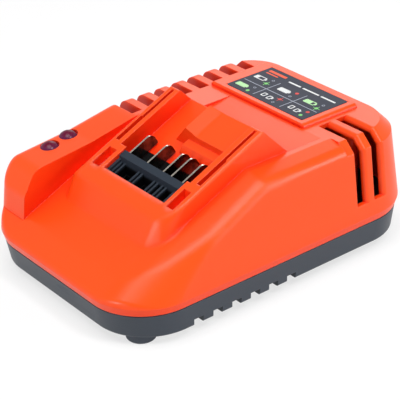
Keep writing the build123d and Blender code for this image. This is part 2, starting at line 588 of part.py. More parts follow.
def lower_housing():
    """Lower half shell: tray with seam lip, edge vents, foot seats, screw columns and standoffs."""
    outer = lower_form(0.0, BASE_UNDERSIDE_Z)
    outer = fillet(outer.faces().sort_by(Axis.Z)[0].edges(), BASE_EDGE_RADIUS)
    floor_z = BASE_UNDERSIDE_Z + WALL
    shell = outer - lower_form(WALL, floor_z)
    lip = extrude(outline_at(SEAM_LIP_INSET, SEAM_Z - 1), 1 + SEAM_LIP_HEIGHT)
    lip -= extrude(outline_at(WALL, SEAM_Z - 1), 1 + SEAM_LIP_HEIGHT)
    lip -= box(INLET_X - INLET_PAD_RADIUS - 1, INLET_X + INLET_PAD_RADIUS + 1, 0, BIG, SEAM_Z, SEAM_Z + 5)
    shell += lip
    reveal = extrude(outline_at(-1, SEAM_Z - SEAM_REVEAL), SEAM_REVEAL)
    reveal -= extrude(outline_at(SEAM_REVEAL, SEAM_Z - SEAM_REVEAL), SEAM_REVEAL)
    shell -= reveal
    for side in (-1, 1):
        for index in range(BASE_VENT_COUNT):
            y = BASE_VENT_FIRST_Y + index * BASE_VENT_PITCH
            x0, x1 = sorted((side * (HALF_WIDTH + 2), side * (HALF_WIDTH - BASE_VENT_DEPTH)))
            shell -= box(x0, x1, y - BASE_VENT_WIDTH / 2, y + BASE_VENT_WIDTH / 2,
                         BASE_UNDERSIDE_Z - 1, BASE_UNDERSIDE_Z + BASE_VENT_HEIGHT)
    for x, y in foot_places():
        shell -= cylinder_between(x, y, 0, BASE_UNDERSIDE_Z + FOOT_SEAT_DEPTH, FOOT_RADIUS + PLAY)
        shell -= cylinder_between(x, y, 0, floor_z + 1, FOOT_STUD_RADIUS + PLAY)
    for x, y in screw_places():
        shell += cylinder_between(x, y, BASE_UNDERSIDE_Z, COLUMN_TOP_Z, COLUMN_RADIUS)
        shell -= cylinder_between(x, y, 0, COLUMN_TOP_Z, SCREW_HOLE_RADIUS)
        shell -= cylinder_between(x, y, 0, BASE_UNDERSIDE_Z + COUNTERBORE_DEPTH, COUNTERBORE_RADIUS)
    for x, y in board_screw_places():
        shell += cylinder_between(x, y, floor_z, BOARD_Z, STANDOFF_RADIUS)
        shell -= cylinder_between(x, y, floor_z + 0.5, BOARD_Z, SMALL_SCREW_RADIUS)
    pad = inlet_cylinder(INLET_PAD_RADIUS, INLET_INNER_Y, HALF_LENGTH)
    pad = pad & lower_form(WALL / 2, BASE_UNDERSIDE_Z)
    shell += pad
    shell -= inlet_cylinder(INLET_NECK_RADIUS + PLAY, INLET_INNER_Y - 1, BIG)
    shell -= inlet_cylinder(INLET_FLANGE_RADIUS + PLAY, INLET_SEAT_Y, BIG)
    return shell


def rubber_feet():
    """Four push-in feet with rounded soles."""
    feet = []
    for x, y in foot_places():
        top = BASE_UNDERSIDE_Z + FOOT_SEAT_DEPTH
        foot = cylinder_between(x, y, 0, top, FOOT_RADIUS)
        foot = fillet(foot.edges().sort_by(Axis.Z)[0], FOOT_SOLE_RADIUS)
        foot += cylinder_between(x, y, top, BASE_UNDERSIDE_Z + WALL + 1.5, FOOT_STUD_RADIUS)
        feet.append(foot)
    return feet


def cord_inlet_bushing():
    """Flanged ring clamped between the two shells; the mains cord passes through it."""
    ring = inlet_cylinder(INLET_NECK_RADIUS, INLET_INNER_Y, INLET_SEAT_Y)
    outer_flange = inlet_cylinder(INLET_FLANGE_RADIUS, INLET_SEAT_Y, INLET_SEAT_Y + INLET_FLANGE)
    inner_flange = inlet_cylinder(INLET_FLANGE_RADIUS, INLET_INNER_Y - INLET_FLANGE, INLET_INNER_Y)
    ring = ring + outer_flange + inner_flange
    return ring - inlet_cylinder(INLET_BORE_RADIUS, 0, BIG)


# ---- Fasteners ------------------------------------------------------------------------------
def screw(radius, length, head_radius, head_height):
    """A pan head screw standing on its head's underside at the origin, point up."""
    body = cylinder_between(0, 0, 0, length, radius)
    body = chamfer(body.edges().sort_by(Axis.Z)[-1], radius * 0.6)
    head = cylinder_between(0, 0, -head_height, 0, head_radius)
    head = fillet(head.edges().sort_by(Axis.Z)[0], head_height * 0.4)
    slot = box(-head_radius * 0.6, head_radius * 0.6, -0.35, 0.35, -head_height, -head_height + 0.9)
    cross = slot + Rot(0, 0, 90) * slot
    return body + head - cross


def housing_screws():
    """Four screws up through the lower shell into the upper shell's bosses."""
    seat = BASE_UNDERSIDE_Z + COUNTERBORE_DEPTH
    return [Pos(x, y, seat) * screw(SCREW_RADIUS, SCREW_LENGTH, SCREW_HEAD_RADIUS, SCREW_HEAD_HEIGHT)
            for x, y in screw_places()]


def board_screw_places():
    return [(sx * BOARD_SCREW_X, sy * BOARD_SCREW_Y) for sx in (-1, 1) for sy in (-1, 1)]


def circuit_board_screws():
    """Four screws down through the main board into the standoffs."""
    screws = []
    for x, y in board_screw_places():
        one = screw(SMALL_SCREW_RADIUS - 0.05, 6.0, 2.2, 1.6)
        screws.append(Pos(x, y, BOARD_Z + BOARD_THICKNESS) * Rot(180, 0, 0) * one)
    return screws


# ---- Terminals ------------------------------------------------------------------------------
def blade(x):
    """A flat contact: a tip that rises along the ramp and a tail down to the lead."""
    root = BLOCK_WALL_Y - BLOCK_WALL_THICKNESS + BLADE_ROOT_COVER
    tip = BLOCK_WALL_Y + BLADE_REACH * COS_SLOPE
    nose = tip + BLADE_NOSE_RUN
    points = ((root, dock_z(root, BLADE_BOTTOM_DROP)), (root, dock_z(root, BLADE_TOP_DROP)),
              (tip, dock_z(tip, BLADE_TOP_DROP)), (nose, dock_z(nose, BLADE_BOTTOM_DROP)))
    half = BLADE_THICKNESS / 2
    plate = side_prism(points, x - half, x + half, {points[2]: BLADE_TIP_RADIUS, points[3]: 0.8})
    tail_top = dock_z(root, BLADE_BOTTOM_DROP) + 1
    return plate + box(x - half, x + half, root, root + TAIL_WIDTH, dock_z(root, TAIL_DROP), tail_top)


def terminal_block(blades):
    """Black moulding in the dock's opening, with a wall that carries the blades and a comb before it."""
    under = DOCK_RISE + WALL / COS_SLOPE
    x0, x1 = OPENING_LEFT + PLAY, OPENING_RIGHT - PLAY
    y0, y1 = OPENING_FRONT_Y + PLAY, OPENING_BACK_Y - PLAY
    body = ramp_band(x0, x1, y0, y1, BLOCK_FLOOR_DROP, under)
    body += ramp_band(x0 - FLANGE_SIDE, x1 + FLANGE_SIDE, y0 - 1.5, y1 + 4, under, under + BLOCK_FLANGE)
    body += ramp_band(x0, x1, BLOCK_WALL_Y - BLOCK_WALL_THICKNESS, BLOCK_WALL_Y,
                      BLOCK_WALL_DROP, BLOCK_FLOOR_DROP)
    for x in (x0, x1 - CHEEK):
        body += ramp_band(x, x + CHEEK, y0, BLOCK_WALL_Y, CHEEK_DROP, BLOCK_FLOOR_DROP)
    comb_end = BLOCK_WALL_Y - BLOCK_WALL_THICKNESS + 0.5
    for x in BLADE_XS:
        for side in (-1, 1):
            middle = x + side * (COMB_SLOT_WIDTH + COMB_RIB) / 2
            body += ramp_band(middle - COMB_RIB / 2, middle + COMB_RIB / 2, y0, comb_end,
                              COMB_DROP, BLOCK_FLOOR_DROP)
        reach = COMB_SLOT_WIDTH / 2 + COMB_RIB
        body += ramp_band(x - reach, x + reach, y0, y0 + COMB_NOSE, COMB_NOSE_DROP, BLOCK_FLOOR_DROP)
    holders = [(x - COMB_SLOT_WIDTH / 2 - COMB_RIB, x + COMB_SLOT_WIDTH / 2 + COMB_RIB) for x in BLADE_XS]
    for left, right in zip([None] + holders, holders + [None]):
        well_start = left[1] if left else x0 + CHEEK
        well_end = right[0] if right else x1 - CHEEK
        if well_end - well_start > 2 * WELL_MARGIN:
            body -= ramp_band(well_start + WELL_MARGIN, well_end - WELL_MARGIN, y0 + CHEEK, comb_end - 1,
                              0, WELL_DROP)
    for piece in blades:
        body -= piece
    for x in TERMINAL_SCREW_XS:
        body -= ramp_screw_hole(x, SCREW_HOLE_RADIUS)
    return body


def ramp_screw_plane(x):
    """At the underside of the terminal block's flange, looking up at right angles to the ramp."""
    drop = DOCK_RISE + WALL / COS_SLOPE + BLOCK_FLANGE
    y = TERMINAL_SCREW_Y
    return Plane(origin=(x, y, dock_z(y, drop)), x_dir=(1, 0, 0), z_dir=(0, -SIN_SLOPE, COS_SLOPE))


def ramp_screw_hole(x, radius=None):
    """A hole square to the ramp, up into the rail above the terminal block's flange."""
    depth = TERMINAL_SCREW_LENGTH + 0.5
    bore = radius or SMALL_SCREW_RADIUS
    return ramp_screw_plane(x) * Pos(0, 0, depth / 2 - 1) * Cylinder(bore, depth + 2)


def terminal_block_screws():
    """Two screws that hold the terminal block to the rails from below."""
    one = screw(SMALL_SCREW_RADIUS - 0.05, TERMINAL_SCREW_LENGTH, 2.2, 1.6)
    return [ramp_screw_plane(x) * one for x in TERMINAL_SCREW_XS]


def terminal_leads(blades):
    """Insulated wires from the blades' tails down to the main board."""
    root = BLOCK_WALL_Y - BLOCK_WALL_THICKNESS + BLADE_ROOT_COVER
    tail_y = root + TAIL_WIDTH / 2
    start_z = dock_z(root, TAIL_DROP)
    leads = []
    for x in BLADE_XS:
        route = ((x, tail_y, start_z), (x, tail_y, start_z - 9), (x, tail_y - 5, BOARD_TOP_Z + 8),
                 (x, tail_y - 5, BOARD_TOP_Z))
        path = FilletPolyline(*route, radius=5.0)
        section = Plane(origin=path @ 0, z_dir=path % 0) * Circle(LEAD_RADIUS)
        leads.append(sweep(section, path=path))
    return leads


# ---- Indicators -----------------------------------------------------------------------------
def ridge_top_z(y):
    """Height of the ridge between its brow and its sag."""
    run = (y - RIDGE_BROW[0]) / (RIDGE_SAG[0] - RIDGE_BROW[0])
    return RIDGE_BROW[1] + run * (RIDGE_SAG[1] - RIDGE_BROW[1])


def lens_seat_z(y):
    return ridge_top_z(y) - LENS_SINK


def indicator_lens(x, y):
    """A domed lens with a hollow stem that takes the lamp."""
    rise = LENS_HEIGHT
    sphere = (LENS_RADIUS ** 2 + rise ** 2) / (2 * rise)
    dome = Pos(0, 0, rise - sphere) * Sphere(sphere) & cylinder_between(0, 0, 0, rise + 1, LENS_RADIUS)
    stem = cylinder_between(0, 0, -LENS_STEM_LENGTH, 0, LENS_STEM_RADIUS)
    bore = cylinder_between(0, 0, -LENS_STEM_LENGTH, -0.8, LED_RADIUS + PLAY)
    return Pos(x, y, lens_seat_z(y)) * (dome + stem - bore)


def indicator_lamps():
    """Two round lamps standing on the small board, their heads inside the lens stems."""
    lamps = []
    for x, y in LENS_CENTRES:
        base = INDICATOR_BOARD_Z + BOARD_THICKNESS
        top = lens_seat_z(y) - 1.2
        body = cylinder_between(x, y, base, top - LED_RADIUS, LED_RADIUS)
        body += Pos(x, y, top - LED_RADIUS) * Sphere(LED_RADIUS)
        lamps.append(body + cylinder_between(x, y, base, base + 1.0, LED_RADIUS + 0.4))
    return lamps


def indicator_board():
    """Small board under the ridge, screwed to two posts."""
    top_z = INDICATOR_BOARD_Z + BOARD_THICKNESS
    board = box(*INDICATOR_BOARD_X, *INDICATOR_BOARD_Y, INDICATOR_BOARD_Z, top_z)
    board = fillet(board.edges().filter_by(Axis.Z), 1.5)
    for x, y in INDICATOR_POSTS:
        board -= cylinder_between(x, y, 0, FORM_TOP_Z, SMALL_SCREW_RADIUS + 0.1)
    return board


def indicator_board_screws():
    one = screw(SMALL_SCREW_RADIUS - 0.05, 6.0, 2.2, 1.6)
    return [Pos(x, y, INDICATOR_BOARD_Z) * one for x, y in INDICATOR_POSTS]


def indicator_leads():
    """Three thin wires from the indicator board down to the main board."""
    leads = []
    for index in range(3):
        y = sum(INDICATOR_BOARD_Y) / 2 - 1.5 + 2.2 * index
        start, end = INDICATOR_LEAD_X, INDICATOR_LEAD_X + 3
        route = ((start, y, INDICATOR_BOARD_Z), (start, y, INDICATOR_BOARD_Z - 9), (end, y, BOARD_TOP_Z + 8),
                 (end, y, BOARD_TOP_Z))
        path = FilletPolyline(*route, radius=4.0)
        section = Plane(origin=path @ 0, z_dir=path % 0) * Circle(0.6)
        leads.append(sweep(section, path=path))
    return leads


# ---- Main board and what stands on it -------------------------------------------------------
def circuit_board():
    half = BOARD_WIDTH / 2
    board = box(-half, half, BOARD_FRONT_Y, BOARD_BACK_Y, BOARD_Z, BOARD_TOP_Z)
    board = fillet(board.edges().filter_by(Axis.Z), BOARD_CORNER)
    for x, y in board_screw_places():
        board -= cylinder_between(x, y, 0, FORM_TOP_Z, SMALL_SCREW_RADIUS + 0.1)
    return board


def transformer_core():
    """Two E halves closed round the bobbin: an outer frame with a centre leg."""
    width, depth, height = CORE_SIZE
    x, y = CORE_PLACE
    frame = box(-width / 2, width / 2, -depth / 2, depth / 2, 0, height)
    window = (width - 2 * CORE_YOKE - CORE_LEG) / 2
    for side in (-1, 1):
        inner = side * CORE_LEG / 2
        x0, x1 = sorted((inner, inner + side * window))
        frame -= box(x0, x1, -depth, depth, CORE_YOKE, height - CORE_YOKE)
    return Pos(x, y, BOARD_TOP_Z + BOBBIN_FOOT) * frame


def transformer_bobbin():
    """Moulded spool on the centre leg, with a foot that carries the pins."""
    width, depth, height = CORE_SIZE
    x, y = CORE_PLACE
    leg = CORE_LEG / 2 + PLAY
    across = depth / 2 + PLAY
    inside = height - 2 * CORE_YOKE
    reach = (width - 2 * CORE_YOKE) / 2 - PLAY
    deep = depth / 2 + 8
    barrel = box(-leg - 1, leg + 1, -across - 1, across + 1, CORE_YOKE + PLAY, CORE_YOKE + inside - PLAY)
    for z in (CORE_YOKE + PLAY, CORE_YOKE + inside - PLAY - 1.2):
        barrel += box(-reach, reach, -deep, deep, z, z + 1.2)
    barrel -= box(-leg, leg, -across, across, 0, height)
    for side in (-1, 1):
        y0, y1 = sorted((side * (across + 0.3), side * deep))
        barrel += box(-reach, reach, y0, y1, -BOBBIN_FOOT, CORE_YOKE + PLAY + 0.5)
    return Pos(x, y, BOARD_TOP_Z + BOBBIN_FOOT) * barrel


def transformer_winding():
    """Wound wire packed between the bobbin's flanges."""
    width, depth, height = CORE_SIZE
    x, y = CORE_PLACE
    reach = (width - 2 * CORE_YOKE) / 2 - 2 * PLAY - 0.3
    deep = depth / 2 + 7
    z0 = CORE_YOKE + PLAY + 1.2
    z1 = height - CORE_YOKE - PLAY - 1.2
    coil = box(-reach, reach, -deep, deep, z0, z1)
    coil = fillet(coil.edges().filter_by(Axis.Z), 3.0)
    leg = CORE_LEG / 2 + PLAY + 1
    across = depth / 2 + PLAY + 1
    coil -= box(-leg, leg, -across, across, 0, height)
    return Pos(x, y, BOARD_TOP_Z + BOBBIN_FOOT) * coil


def can(x, y, radius, height):
    """A round capacitor with a rolled rim and a crimp groove."""
    half = Polygon((0, 0), (radius, 0), (radius, 2.4), (radius - 0.5, 3.0), (radius, 3.6), (radius, height),
                   (0, height), align=None)
    top = half.vertices().sort_by_distance((radius, height, 0))[0]
    half = fillet(top, 0.8)
    return Pos(x, y, BOARD_TOP_Z) * revolve(Plane.XZ * half, Axis.Z)


def line_choke_core():
    """Ferrite ring standing on the board."""
    x, y = CHOKE_PLACE
    ring = Cylinder(CHOKE_RADIUS, CHOKE_WIDTH) - Cylinder(CHOKE_HOLE, CHOKE_WIDTH)
    return Pos(x, y, BOARD_TOP_Z + CHOKE_RADIUS + CHOKE_WIRE) * Rot(90, 0, 0) * ring


def line_choke_windings():
    """Two groups of wire wrapped round the ring."""
    x, y = CHOKE_PLACE
    outer = Cylinder(CHOKE_RADIUS + CHOKE_WIRE, CHOKE_WIDTH + 2 * CHOKE_WIRE)
    outer -= Cylinder(CHOKE_HOLE - CHOKE_WIRE, CHOKE_WIDTH + 2 * CHOKE_WIRE)
    ring = Cylinder(CHOKE_RADIUS, CHOKE_WIDTH) - Cylinder(CHOKE_HOLE, CHOKE_WIDTH)
    shell = outer - ring
    half = CHOKE_RADIUS + CHOKE_WIRE + 1
    gap = 2.5
    coils = []
    for side in (-1, 1):
        y0, y1 = sorted((side * gap, side * half))
        part = shell & box(-half, half, y0, y1, -half, half)
        coils.append(Pos(x, y, BOARD_TOP_Z + CHOKE_RADIUS + CHOKE_WIRE) * Rot(90, 0, 0) * part)
    return coils


def heat_sink():
    """Extruded aluminium comb standing on the board."""
    y0, y1 = HEAT_SINK_Y
    x = HEAT_SINK_X
    plate = box(x, x + 3, y0, y1, BOARD_TOP_Z, BOARD_TOP_Z + 26)
    for index in range(5):
        z = BOARD_TOP_Z + 2 + index * 5.6
        plate += box(x + 3, x + 12, y0, y1, z, z + 1.4)
    return plate


def flat_package(y):
    """A plastic power device flat against the heat sink, with three legs to the board."""
    x = HEAT_SINK_X
    z = BOARD_TOP_Z + 4
    body = box(x - 4.5, x, y - 5, y + 5, z, z + 9)
    tab = box(x - 1.3, x, y - 5, y + 5, z + 9, z + 15.5)
    tab -= Pos(x, y, z + 12.5) * Rot(0, 90, 0) * Cylinder(1.8, 10)
    legs = [box(x - 3.0, x - 2.4, y + offset - 0.5, y + offset + 0.5, BOARD_TOP_Z, z)
            for offset in (-2.5, 0, 2.5)]
    body = chamfer(body.edges().filter_by(Axis.Z).sort_by(Axis.X)[:2], 0.5)
    return body + tab + legs[0] + legs[1] + legs[2]


def bridge_rectifier():
    x, y = BRIDGE_PLACE
    body = box(x - 2.2, x + 2.2, y - 10, y + 10, BOARD_TOP_Z + 1.5, BOARD_TOP_Z + 16)
    body = chamfer(body.edges().filter_by(Axis.X).sort_by(Axis.Z)[-1], 2.0)
    for offset in (-7.5, -2.5, 2.5, 7.5):
        body += box(x - 0.4, x + 0.4, y + offset - 0.6, y + offset + 0.6, BOARD_TOP_Z, BOARD_TOP_Z + 2)
    return body


def mains_connector():
    """Two-pole screw connector for the mains cord."""
    x, y = CONNECTOR_PLACE
    body = box(x - 6, x + 6, y - 5, y + 5, BOARD_TOP_Z, BOARD_TOP_Z + 11)
    body = chamfer(body.edges().filter_by(Axis.X).sort_by(Axis.Z)[-2:], 1.5)
    for side in (-1, 1):
        body -= Pos(x + side * 3, y, BOARD_TOP_Z + 11) * Cylinder(1.9, 5)
        body -= Pos(x + side * 3, y + 5, BOARD_TOP_Z + 4) * Rot(90, 0, 0) * Cylinder(1.5, 7)
    return body


def fuse():
    """Glass tube fuse with two metal caps, lying in its clips."""
    x, y = FUSE_PLACE
    z = BOARD_TOP_Z + 5.2
    tube = Pos(x, y, z) * Rot(90, 0, 0) * Cylinder(2.3, 20)
    for side in (-1, 1):
        tube += Pos(x, y + side * 7.4, z) * Rot(90, 0, 0) * Cylinder(2.6, 5.2)
    return tube


def fuse_clips():
    """Two sprung clips on the board."""
    x, y = FUSE_PLACE
    z = BOARD_TOP_Z + 5.2
    clips = []
    for side in (-1, 1):
        clip = box(x - 3.4, x + 3.4, y + side * 7.4 - 2, y + side * 7.4 + 2, BOARD_TOP_Z, z + 2.2)
        clip -= Pos(x, y + side * 7.4, z) * Rot(90, 0, 0) * Cylinder(2.6 + 0.05, 6)
        clip -= box(x - 2.0, x + 2.0, y + side * 7.4 - 3, y + side * 7.4 + 3, z, z + 5)
        clips.append(clip)
    return clips


def controller_chip():
    x, y = CHIP_PLACE
    body = box(x - 3.3, x + 3.3, y - 6, y + 6, BOARD_TOP_Z + 0.6, BOARD_TOP_Z + 4)
    body = chamfer(body.edges().filter_by(Axis.Y), 0.5)
    body -= Pos(x, y + 6, BOARD_TOP_Z + 4) * Cylinder(1.0, 1.2)
    for side in (-1, 1):
        for index in range(6):
            leg_y = y - 5 + 2 * index
            x0, x1 = sorted((x + side * 3.2, x + side * 3.9))
            body += box(x0, x1, leg_y - 0.3, leg_y + 0.3, BOARD_TOP_Z, BOARD_TOP_Z + 2.6)
    return body


def instruction_label():
    """Thin plate in the plateau's shallow recess."""
    plate = box(LABEL_LEFT, LABEL_RIGHT, LABEL_FRONT_Y, LABEL_BACK_Y, LABEL_Z, LABEL_Z + LABEL_THICKNESS)
    return fillet(plate.edges().filter_by(Axis.Z), LABEL_CORNER)


def main():
    """Every separate piece, each in its own file."""
    os.makedirs("parts", exist_ok=True)
    blades = [blade(x) for x in BLADE_XS]
    pieces = {
        "upper_housing": upper_housing(),
        "lower_housing": lower_housing(),
        "rubber_feet": rubber_feet(),
        "housing_screws": housing_screws(),
        "cord_inlet_bushing": cord_inlet_bushing(),
        "terminal_block": terminal_block(blades),
        "terminal_block_screws": terminal_block_screws(),
        "terminal_leads": terminal_leads(blades),
        "instruction_label": instruction_label(),
        "indicator_lamps": indicator_lamps(),
        "indicator_board": indicator_board(),
        "indicator_board_screws": indicator_board_screws(),
        "indicator_leads": indicator_leads(),
        "circuit_board": circuit_board(),
        "circuit_board_screws": circuit_board_screws(),
        "transformer_core": transformer_core(),
        "transformer_bobbin": transformer_bobbin(),
        "transformer_winding": transformer_winding(),
        "input_capacitor": can(*INPUT_CAPACITOR, 9.0, 30.0),
        "output_capacitors": [can(x, y, 5.0, 20.0) for x, y in OUTPUT_CAPACITORS],
        "line_choke_core": line_choke_core(),
        "line_choke_windings": line_choke_windings(),
        "heat_sink": heat_sink(),
        "power_transistor": flat_package(8.0),
        "output_rectifier": flat_package(-18.0),
        "bridge_rectifier": bridge_rectifier(),
        "mains_connector": mains_connector(),
        "fuse": fuse(),
        "fuse_clips": fuse_clips(),
        "controller_chip": controller_chip(),
    }
    for name, piece in zip(BLADE_NAMES, blades):
        pieces[name] = piece
    for name, (x, y) in zip(LENS_NAMES, LENS_CENTRES):
        pieces[name] = indicator_lens(x, y)
    for name, piece in pieces.items():
        solids = piece if isinstance(piece, list) else [piece]
        shape = Compound(children=[s for one in solids for s in one.solids()])
        export_step(shape, f"parts/{name}.step")


main()
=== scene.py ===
import math

import bpy
from mathutils import Matrix, Vector


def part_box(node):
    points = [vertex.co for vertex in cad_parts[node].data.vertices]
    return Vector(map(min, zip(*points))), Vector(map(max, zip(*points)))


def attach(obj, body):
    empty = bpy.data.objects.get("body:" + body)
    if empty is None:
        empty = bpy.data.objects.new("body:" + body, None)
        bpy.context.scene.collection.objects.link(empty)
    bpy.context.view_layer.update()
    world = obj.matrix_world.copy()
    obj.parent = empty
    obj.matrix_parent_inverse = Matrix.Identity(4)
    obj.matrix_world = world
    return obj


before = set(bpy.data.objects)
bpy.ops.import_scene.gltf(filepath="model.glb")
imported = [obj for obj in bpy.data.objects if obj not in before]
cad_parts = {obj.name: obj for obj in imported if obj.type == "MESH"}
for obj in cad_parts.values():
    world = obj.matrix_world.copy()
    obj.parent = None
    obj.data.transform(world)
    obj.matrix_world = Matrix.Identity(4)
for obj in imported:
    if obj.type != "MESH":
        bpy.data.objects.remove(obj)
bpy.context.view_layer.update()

# Slide-on battery charger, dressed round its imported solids. Metres, +Z up, +Y from the low front
# to the label end, +X to the right. The label's signs and the finishes' radius, depth and pitch are
# in millimetres.
MM = 0.001


# ---- Shader building ------------------------------------------------------------------------
NOISE_ROUGHNESS = 0.55


def link(tree, source, target):
    tree.links.new(source, target)


def add_node(tree, kind, **settings):
    node = tree.nodes.new(kind)
    for key, value in settings.items():
        setattr(node, key, value)
    return node


def math_node(tree, operation, first, second=None, third=None, clamp=False):
    """One Math node; numbers are set on its sockets, sockets are linked to them."""
    node = add_node(tree, "ShaderNodeMath", operation=operation, use_clamp=clamp)
    for index, value in enumerate((first, second, third)):
        if value is None:
            continue
        if isinstance(value, (int, float)):
            node.inputs[index].default_value = value
        else:
            link(tree, value, node.inputs[index])
    return node.outputs[0]


def set_values(node, values):
    """Constants on a node's inputs, by socket name."""
    for socket, value in values.items():
        node.inputs[socket].default_value = value


def object_place(tree):
    return add_node(tree, "ShaderNodeTexCoord").outputs["Object"]


def components(tree, vector):
    """A vector's sockets, by the names X, Y and Z."""
    node = add_node(tree, "ShaderNodeSeparateXYZ")
    link(tree, vector, node.inputs[0])
    return node.outputs


def noise(tree, vector, scale, detail=3.0):
    node = add_node(tree, "ShaderNodeTexNoise")
    set_values(node, {"Scale": scale, "Detail": detail, "Roughness": NOISE_ROUGHNESS})
    link(tree, vector, node.inputs["Vector"])
    return node.outputs["Fac"]


def stretched_noise(tree, stretch, turn=(0.0, 0.0, 0.0), detail=3.0):
    """Noise drawn out into lines."""
    node = add_node(tree, "ShaderNodeMapping")
    set_values(node, {"Scale": stretch, "Rotation": turn})
    link(tree, object_place(tree), node.inputs["Vector"])
    return noise(tree, node.outputs["Vector"], 1.0, detail)


def spread(tree, value, low, high, to_low, to_high):
    """A value's span carried onto another span, clamped."""
    node = add_node(tree, "ShaderNodeMapRange", clamp=True)
    link(tree, value, node.inputs["Value"])
    set_values(node, {"From Min": low, "From Max": high, "To Min": to_low, "To Max": to_high})
    return node.outputs["Result"]


def blend_colours(tree, factor, first, second):
    node = add_node(tree, "ShaderNodeMix", data_type="RGBA")
    link(tree, factor, node.inputs["Factor"])
    for socket, value in ((node.inputs[6], first), (node.inputs[7], second)):
        if isinstance(value, (tuple, list)):
            socket.default_value = (*value, 1.0)
        else:
            link(tree, value, socket)
    return node.outputs[2]


def new_group(name, inputs, outputs):
    """An empty shader group with float inputs (name, default) and outputs (name, socket type)."""
    group = bpy.data.node_groups.new(name, "ShaderNodeTree")
    for label, default in inputs:
        socket = group.interface.new_socket(label, in_out="INPUT", socket_type="NodeSocketFloat")
        socket.default_value = default
    for label, kind in outputs:
        group.interface.new_socket(label, in_out="OUTPUT", socket_type=kind)
    return group, group.nodes.new("NodeGroupInput"), group.nodes.new("NodeGroupOutput")


# The moulded surface: all scales are per metre
PORE_SCALE = 0.6                        # the pores' scale and share, against the grain's
PORE_SHARE = 0.5
WORN_REACH = 2.0                        # the worn band's width, in edge radii
WORN_TURN = (0.02, 0.3)                 # how far a face has turned where the wear begins and is full
WORN_PATCH_SCALE = 180.0
MOTTLE_SCALE = 22.0
SCRATCH_STRETCH = (60.0, 900.0, 300.0)
SCRATCH_TURN = (0.0, 0.0, 0.5)
SCUFF_PATCH_SCALE = 35.0


def moulded_surface_group():
    """Spark-eroded mould texture, soft edges, and the masks that go with them."""
    group, given, out = new_group(
        "moulded surface",
        (("Edge Radius", 0.0004), ("Grain Scale", 2500.0), ("Grain Height", 0.00001), ("Bump", 0.3),
         ("Soft Radius", 0.0)),
        (("Normal", "NodeSocketVector"), ("Edge", "NodeSocketFloat"), ("Mottle", "NodeSocketFloat"),
         ("Scuffs", "NodeSocketFloat")))
    radius, scale = given.outputs["Edge Radius"], given.outputs["Grain Scale"]
    place = object_place(group)

    # Normal: rounded edges, with the grain and its pores raised on them
    rounded = add_node(group, "ShaderNodeBevel", samples=6)
    link(group, math_node(group, "ADD", radius, given.outputs["Soft Radius"]), rounded.inputs["Radius"])
    grain = add_node(group, "ShaderNodeTexNoise")
    set_values(grain, {"Detail": 2.0})
    link(group, place, grain.inputs["Vector"])
    link(group, scale, grain.inputs["Scale"])
    pores = add_node(group, "ShaderNodeTexVoronoi")
    link(group, place, pores.inputs["Vector"])
    link(group, math_node(group, "MULTIPLY", scale, PORE_SCALE), pores.inputs["Scale"])
    pitted = math_node(group, "MULTIPLY", pores.outputs["Distance"], PORE_SHARE)
    bump = add_node(group, "ShaderNodeBump")
    link(group, given.outputs["Bump"], bump.inputs["Strength"])
    link(group, given.outputs["Grain Height"], bump.inputs["Distance"])
    link(group, math_node(group, "ADD", grain.outputs["Fac"], pitted), bump.inputs["Height"])
    link(group, rounded.outputs["Normal"], bump.inputs["Normal"])
    link(group, bump.outputs["Normal"], out.inputs["Normal"])

    # Edge: where a wider bevel turns away from the face, broken into patches
    wide = add_node(group, "ShaderNodeBevel", samples=4)
    link(group, math_node(group, "MULTIPLY", radius, WORN_REACH), wide.inputs["Radius"])
    along = add_node(group, "ShaderNodeVectorMath", operation="DOT_PRODUCT")
    link(group, wide.outputs["Normal"], along.inputs[0])
    link(group, add_node(group, "ShaderNodeNewGeometry").outputs["True Normal"], along.inputs[1])
    turned = math_node(group, "SUBTRACT", 1.0, along.outputs["Value"])
    worn = spread(group, noise(group, place, WORN_PATCH_SCALE, 4.0), 0.45, 0.62, 0.35, 1.0)
    link(group, math_node(group, "MULTIPLY", spread(group, turned, *WORN_TURN, 0.0, 1.0), worn),
         out.inputs["Edge"])

    # Mottle: broad, faint unevenness
    mottle = noise(group, place, MOTTLE_SCALE, 5.0)
    link(group, spread(group, mottle, 0.3, 0.7, 0.0, 1.0), out.inputs["Mottle"])

    # Scuffs: patches of fine parallel scratches
    scratches = stretched_noise(group, SCRATCH_STRETCH, SCRATCH_TURN, 2.0)
    scratches = spread(group, scratches, 0.62, 0.72, 0.0, 1.0)
    patches = spread(group, noise(group, place, SCUFF_PATCH_SCALE), 0.5, 0.68, 0.0, 1.0)
    link(group, math_node(group, "MULTIPLY", scratches, patches), out.inputs["Scuffs"])
    return group


MOULDED = moulded_surface_group()


def new_material(name):
    material = bpy.data.materials.new(name)
    material.use_nodes = True
    tree = material.node_tree
    shader = tree.nodes["Principled BSDF"]
    return material, tree, shader


def moulded_surface(tree, radius, grain, depth, bump):
    """The moulded surface in a material; the edge radius and the grain's depth are in mm."""
    surface = add_node(tree, "ShaderNodeGroup", node_tree=MOULDED)
    set_values(surface, {"Edge Radius": radius * MM, "Grain Scale": grain, "Grain Height": depth * MM,
                         "Bump": bump})
    return surface


# The housing's zones with softer edges: where each begins and is full, in metres
SOFT_RADIUS = 0.004
FRONT_Y = (-0.05, -0.04)                # the deck and the dock's front, right of the left shoulder
FRONT_X = (-0.028, -0.022)
RIGHT_X = (0.0435, 0.046)               # the right shoulder
RIGHT_Y = (0.0, 0.02)
ABOVE_Z = (0.024, 0.028)                # above the widest line only


